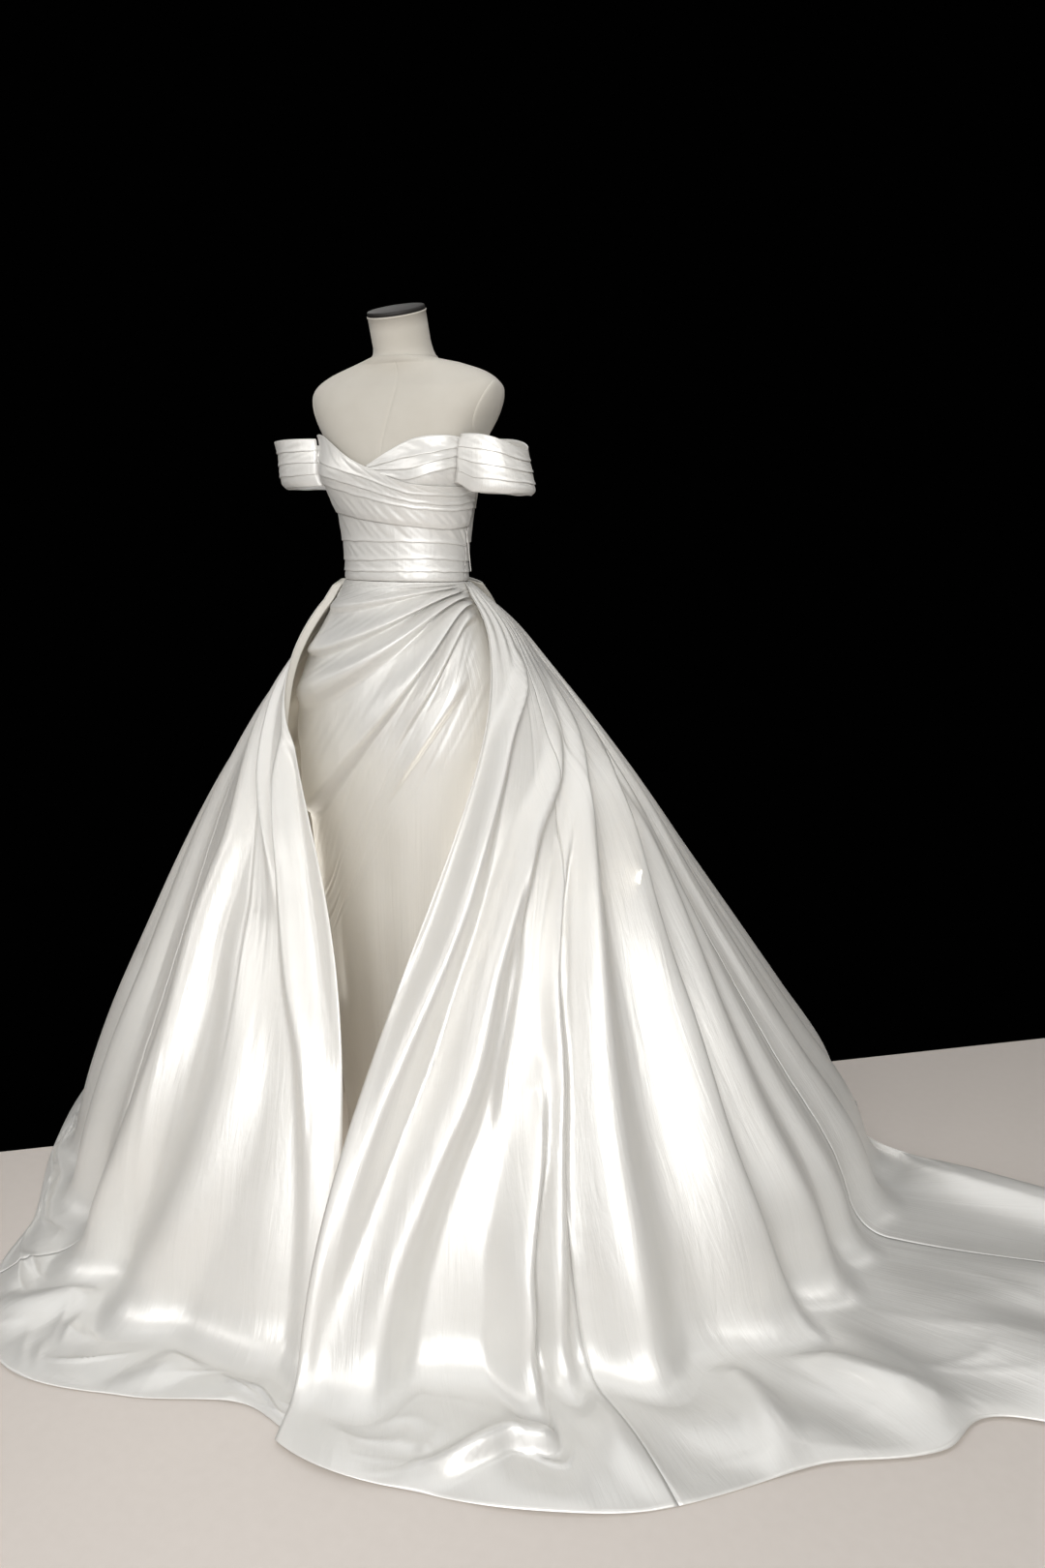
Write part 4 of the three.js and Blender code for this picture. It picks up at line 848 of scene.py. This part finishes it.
def pleated_points(stations, lines, angles, off, drawn, seed):
    """Rows of a pleated panel from its lowest line up: each line is a folded edge facing down."""
    angles = np.asarray(angles, float)
    at = [through(stations, line, angles) for line in lines]
    for k in range(1, len(lines) - 1):
        at[k] = at[k] + 0.9 * ripple(angles / 14, seed + k)
    rows = []

    def row(z, stand):
        rows.append(body_point(angles, z, off + stand))

    for k in range(len(lines)):
        gap_below = at[k] - at[k - 1] if k else np.full_like(angles, 9)
        fade = np.clip(gap_below / 9, 0.1, 1)
        if k == 0:
            row(at[0], -drawn)
        elif k == len(lines) - 1:
            row(at[k], 0.3 * TUCK)
        else:
            for up, stand in TUCK_PATH:
                row(at[k] + up * fade, stand * TUCK * fade)
        if k < len(lines) - 1:
            gap = at[k + 1] - at[k]
            count = int(np.clip(gap.max() / 3.5, 4, 18))
            top = 0 if k == len(lines) - 2 else 0.3
            for t in spread(0, 1, count)[1:-1]:
                rest = np.exp(-t * 5) * TUCK * fade if k else np.full_like(angles, -drawn * max(0, 1 - t * 4))
                puff = 0.7 * np.sin(np.pi * t) * np.clip(gap / 20, 0.2, 1)
                pull = ripple(angles / 6 + t * 3, seed + 31 + k) * np.sin(np.pi * t) * np.clip(gap / 24, 0, 1)
                row(mix(at[k] + 2 * fade * (k > 0), at[k + 1] - top * fade, t), rest + puff + pull)
    return np.stack(rows, 1)


UNDER = FORM_EASE + CLOTH
OVER = FORM_EASE + CLOTH + TUCK + LAYER_GAP + CLOTH


def build_bodice():
    edge = 0.09
    drawn = FORM_EASE - WAIST_SEAT
    mirrored = [line[::-1] for line in BACK_LINES]
    panels = [
        ("midriff_front", FRONT_STATIONS, MIDRIFF_LINES, (-90 + edge, 90 - edge), UNDER, drawn, 3, 120),
        ("bust_wrap", FRONT_STATIONS, WRAP_LINES, (-90 + edge, 90 - edge), OVER, 1.8, 9, 140),
        ("cup_left", CUP_STATIONS, CUP_LINES, (-5, 90 - edge), UNDER, 0, 15, 80),
        ("bodice_back_left", BACK_STATIONS, BACK_LINES, (90 + edge, 180 - edge), UNDER, drawn, 22, 60),
        ("bodice_back_right", [180, 225, 270], mirrored, (180 + edge, 270 - edge), UNDER, drawn, 27, 60),
    ]
    for name, stations, lines, ends, off, draw, seed, count in panels:
        points = pleated_points(stations, lines, spread(*ends, count), off, draw, seed)
        piece = grid_piece("satin_" + name, points, SATIN)
        shown(piece, "satin", name)
    stitches = stitch_tree()
    front = spread(-88, 88, 120)
    for name, up in (("waist_stitches_front", 7.0), ("waist_stitches_front_low", -12.0)):
        level = through(FRONT_STATIONS, MIDRIFF_LINES[1], front) + up
        stand = UNDER + 0.35 + 0.6 * np.exp(-((level - 1170) / 6) ** 2)
        stitch_row(name, body_point(front, level, stand), "satin", stitches)
    side = spread(0, 1, 50)
    path = body_point(mix(83, 103, side), mix(1244, 1168, side), OVER + 0.6)
    piping = tube_piece("side_piping", path, 1.0, SATIN)
    shown(piping, "satin")


def sleeve_points(band, seed):
    along = spread(0, 1, 90)
    out = np.sin(np.pi * along) ** 0.75
    out[0] = out[-1] = 0
    bottom = band["bottom"] - band["bottom_drop"] * out
    top = band["top"] - band["top_drop"] * out ** 3
    rows = []

    start_low = 14 * (1 - ease(along / 0.09)) if band["hand"] > 0 else 0
    tucked_in = 5.0 * (1 - ease(along / 0.11)) * (band["hand"] > 0)

    def row(up, stand):
        z = mix(bottom + start_low, top, up)
        curl = 9 * out * np.clip(1 - up / 0.14, 0, 1) ** 2
        off = band["seat"] + CLOTH + band["swell"] * out + band["flare"] * out * (1 - up) + TUCK * stand
        off = off - curl - tucked_in
        angle = mix(band["start"], band["end"], along)
        point = body_point(angle, z, off)
        point[:, 0] *= band["hand"]
        rows.append(point)

    height = band["top"] - band["bottom"]
    for k in range(SLEEVE_TUCKS + 1):
        low, high = k / (SLEEVE_TUCKS + 1), (k + 1) / (SLEEVE_TUCKS + 1)
        wave = SLEEVE_WAVE * ripple(along * 5, seed + k)
        wave_above = SLEEVE_WAVE * ripple(along * 5, seed + k + 1) * (k < SLEEVE_TUCKS)
        if k:
            for up, stand in TUCK_PATH:
                row(low + wave + up / height, stand * 1.1)
        for t in spread(0, 1, 8)[1 if k else 0:-1]:
            rest = 1.1 * np.exp(-t * 5) if k else 0
            puff = 0.5 * np.sin(np.pi * t)
            pull = 0.35 * ripple(along * 11 + 2 * t, seed + 7 + k) * np.sin(np.pi * t)
            row(mix(low + wave + (2 / height if k else 0), high + wave_above, t), rest + puff + pull)
    row(1.0, 0.3)
    points = np.stack(rows, 1)
    return points if band["hand"] > 0 else points[::-1]


def build_sleeves():
    for side, band in SLEEVES.items():
        points = sleeve_points(band, 41 if side == "left" else 57)
        piece = grid_piece("satin_sleeve_" + side, points, SATIN)
        shown(piece, "satin", "sleeve_" + side)


# Column skirt
def drape_level(angle, left, right):
    k = ease((DRAPE_TURN[0] - angle) / (DRAPE_TURN[0] - DRAPE_TURN[1]))
    return mix(left, right, k)


def drape_stand(angle, crest, start, end):
    return crest * ease((start - angle) / DRAPE_FADE["start"]) * ease((angle - end) / DRAPE_FADE["end"])


def build_column():
    edge = 0.09
    angles = spread(-90 + edge, 90 - edge, 180)
    left = [WAIST_Z] + DRAPE["left"] + COLUMN_PLAIN["left"]
    right = [WAIST_Z] + DRAPE["right"] + COLUMN_PLAIN["right"]
    crest = [0] + DRAPE["crest"] + [0] * len(COLUMN_PLAIN["left"])
    start = [90] + DRAPE["start"] + [90] * len(COLUMN_PLAIN["left"])
    end = [-90] + DRAPE["end"] + [-90] * len(COLUMN_PLAIN["left"])
    rows = []
    for k in range(len(left) - 1):
        upper = drape_level(angles, left[k], right[k])
        lower = drape_level(angles, left[k + 1], right[k + 1])
        stand_here = drape_stand(angles, crest[k], start[k], end[k])
        stand_next = drape_stand(angles, crest[k + 1], start[k + 1], end[k + 1])
        for t in spread(0, 1, 20)[:-1]:
            z = mix(upper, lower, t)
            fall = stand_here * np.cos(np.pi / 2 * t / DRAPE_FALL) ** 1.3 if t < DRAPE_FALL else 0
            rise = stand_next * ease((t - DRAPE_RISE) / (1 - DRAPE_RISE)) ** 1.2
            on_drape = k < len(DRAPE["left"]) + 1
            folded = 1.2 * ripple(angles / 11 + 4 * t, 81 + k) * np.sin(np.pi * t) * on_drape
            hanging = 2.4 * ripple(angles / 19, 95) * ease((900 - z) / 500)
            rows.append(column_point(angles, z, CLOTH + fall + rise + folded + hanging))
    rows.append(column_point(angles, np.full_like(angles, 10.0), CLOTH))
    points = np.stack(rows[::-1], 1)
    front = grid_piece("satin_column_front", points, SATIN)
    shown(front, "satin", "column_front")
    back_angles = spread(90 + edge, 270 - edge, 90)
    levels = spread(10, WAIST_Z, 70)
    soft = 1.5 * ripple(back_angles / 16, 61)
    rows = [column_point(back_angles, z, CLOTH + soft * (1 - (z / WAIST_Z) ** 2)) for z in levels]
    points = np.stack(rows, 1)
    back = grid_piece("satin_column_back", points, SATIN)
    shown(back, "satin", "column_back")


# Overskirt
def build_overskirt():
    wall, turn = spread(0, 1, GORE_ROWS["wall"]), spread(1, 2, GORE_ROWS["turn"])
    drops = np.concatenate([wall[:-1], turn[:-1], spread(2, 3, GORE_ROWS["floor"])])
    for name, start, end in GORES:
        count = int(round((end - start) * GORE_COLUMNS))
        points = skirt_point(spread(start, end, count)[:, None], drops[None, :])
        # Its inner side takes the darker, warmer satin, which paints the shade inside the skirt
        piece = grid_piece("satin_" + name, points, SATIN, inner=SATIN_DULL_AND_SHADE)
        shown(piece, "satin", name)


# Bow
def bow_seat(z):
    return BOW["seat"] + BOW["slope"] * np.maximum(0, WAIST_Z - z)


def build_bow():
    inner = BOW["knot"] / 2 + BOW["clear"]
    reach = (BOW["span"] - inner) / 2
    turns = spread(0, 360, 72)[:-1]
    for hand, side in ((1, "left"), (-1, "right")):
        rows = []
        for high in spread(-1, 1, 20):
            z = BOW["z"] + high * BOW["height"] / 2
            pinch = 1 - 0.12 * high * high
            x = inner + reach - reach * pinch * np.cos(np.radians(turns))
            out = (x - inner) / (2 * reach)
            spread_out = 0.35 + 0.65 * out
            level = mix(BOW["z"], z, spread_out) - BOW["droop"] * out * out
            deep = BOW["depth"] * spread_out + 1.2 * np.cos(high * 9) * (1 - out)
            y = bow_seat(level) + BOW["depth"] + deep * np.sin(np.radians(turns))
            rows.append(np.stack([hand * x, y, level], -1))
        points = np.stack(rows, 1)
        if hand < 0:
            points = points[::-1]
        # The loop's inside takes the darker, warmer satin as painted shade
        loop = grid_piece("satin_bow_" + side, points, SATIN, closed=True, inner=SATIN_DULL_AND_SHADE)
        shown(loop, "satin", "bow_loop_" + side)
    around = spread(0, 360, 48)[:-1]
    rings = []
    for end in spread(-1, 1, 16):
        swell_out = 0.72 + 0.28 * math.sqrt(max(0, 1 - abs(end) ** 3))
        level = BOW["z"] + end * BOW["height"] * 0.26
        pleat = 0.6 * np.cos(np.radians(around) * 9)
        half = BOW["knot"] / 2 * swell_out - 0.4
        deep = BOW["depth"] * 0.8 * swell_out
        x = (half + pleat * 0.3) * np.cos(np.radians(around))
        y = float(bow_seat(level)) + BOW["depth"] + (deep + pleat) * np.sin(np.radians(around))
        rings.append(np.stack([x, y, np.full_like(x, level)], -1))
    knot_points = np.stack(rings, 1)
    knot = grid_piece("satin_bow_knot", knot_points, SATIN, closed=True)
    shown(knot, "satin", "bow_knot")


# Floor, light and camera, in metres
FLOOR_EDGE = ((-0.704, -0.467), (0.762, 0.662))   # two points of the floor's far edge
FLOOR_SIZE = dict(beside=5, front=7)
UNDER_DRESS = 0.62                                # radius of the floor beneath the skirts
CAMERA = dict(place=(1.089, -1.845, 1.25), yaw=24.5, pitch=13.214, roll=0.5, lens=25.09, film=36)


def build_stage():
    mesh = bpy.data.meshes.new("floor")
    edge_a, edge_b = np.array(FLOOR_EDGE)
    along = (edge_b - edge_a) / np.hypot(*(edge_b - edge_a))
    front = np.array([along[1], -along[0]]) * FLOOR_SIZE["front"]
    a, b = edge_a - along * FLOOR_SIZE["beside"], edge_b + along * FLOOR_SIZE["beside"]
    corners = [a, a + front, b + front, b]
    turns = np.radians(spread(0, 360, 48)[:-1])
    under_dress = [(UNDER_DRESS * math.cos(turn), UNDER_DRESS * math.sin(turn), -MM) for turn in turns]
    vertices = [(p[0], p[1], 0) for p in corners] + under_dress
    mesh.from_pydata(vertices, [], [(0, 1, 2, 3), tuple(range(4, len(vertices)))])
    floor = bpy.data.objects.new("floor", mesh)
    bpy.context.collection.objects.link(floor)
    floor.data.materials.append(painted("pale floor", (0.60, 0.55, 0.51), (0.64, 0.59, 0.55), 0.5))


def aim(obj, position, target):
    position, target = np.array(position, float), np.array(target, float)
    back = position - target
    back /= np.linalg.norm(back)
    right = np.cross((0, 0, 1), back)
    right /= np.linalg.norm(right)
    up = np.cross(back, right)
    matrix = np.eye(4)
    matrix[:3, 0], matrix[:3, 1], matrix[:3, 2], matrix[:3, 3] = right, up, back, position
    obj.matrix_world = Matrix(matrix.tolist())


def area_light(name, position, target, size, power, colour=(1, 1, 1)):
    data = bpy.data.lights.new(name, "AREA")
    data.shape = "RECTANGLE"
    data.size, data.size_y = size
    data.energy = power
    data.color = colour
    light = bpy.data.objects.new(name, data)
    bpy.context.collection.objects.link(light)
    aim(light, position, target)


def build_light_and_camera():
    for name, x, y, z, power in (("track one", -1.9, -3.9, 3.4, 38), ("track two", 1.9, -4.2, 2.9, 100),
                                 ("track three", 3.4, -2.8, 3.4, 40), ("track four", -1.8, 1.6, 3.4, 12),
                                 ("track five", 2.6, 1.8, 3.4, 12)):
        area_light(name, (x, y, z), (0.2, -0.1, 0.6), (1.2, 1.2), power, (1.0, 0.985, 0.96))
    area_light("overhead panel", (0.3, -0.6, 4.6), (0.3, -0.4, 0), (4.0, 4.0), 62)
    area_light("front panel", (1.6, -5.2, 1.9), (0.1, 0, 0.7), (3.6, 2.6), 34, (1.0, 0.99, 0.98))
    area_light("left panel", (-4.6, -2.4, 2.2), (0, 0, 0.7), (2.4, 2.4), 13)
    area_light("right panel", (5.0, -0.2, 2.4), (0.2, 0, 0.6), (2.4, 2.4), 11)
    glow = (1.0, 0.94, 0.85)
    area_light("glow under the left side", (0.42, 0.02, 0.42), (0.1, -0.1, 0.5), (0.3, 0.5), 2.2, glow)
    area_light("glow under the right side", (-0.34, 0.05, 0.42), (0.0, -0.2, 0.5), (0.3, 0.5), 1.4, glow)
    area_light("light into the opening", (0.9, -2.6, 1.0), (-0.08, -0.15, 0.62), (0.5, 0.9), 12,
               (0.97, 0.98, 1.0))
    world = bpy.data.worlds.new("studio dark")
    world.use_nodes = True
    world.node_tree.nodes["Background"].inputs["Color"].default_value = (0.0003, 0.0003, 0.0003, 1)
    bpy.context.scene.world = world
    bpy.context.scene.view_settings.view_transform = "Standard"
    yaw, pitch, roll = (math.radians(CAMERA[turn]) for turn in ("yaw", "pitch", "roll"))
    level_right = np.array([math.cos(yaw), math.sin(yaw), 0])
    level_forward = np.array([-math.sin(yaw), math.cos(yaw), 0])
    forward = level_forward * math.cos(pitch) - np.array([0, 0, math.sin(pitch)])
    upward = np.cross(level_right, forward)
    right = level_right * math.cos(roll) + upward * math.sin(roll)
    up = np.cross(right, forward)
    matrix = np.eye(4)
    matrix[:3, 0], matrix[:3, 1], matrix[:3, 2] = right, up, -forward
    matrix[:3, 3] = CAMERA["place"]
    data = bpy.data.cameras.new("camera")
    data.sensor_fit = "VERTICAL"
    data.sensor_height = CAMERA["film"]
    data.lens = CAMERA["lens"]
    camera = bpy.data.objects.new("camera", data)
    bpy.context.collection.objects.link(camera)
    camera.matrix_world = Matrix(matrix.tolist())
    bpy.context.scene.camera = camera


build_light_and_camera()
build_form()
build_bodice()
build_sleeves()
build_column()
build_overskirt()
build_bow()
build_stage()
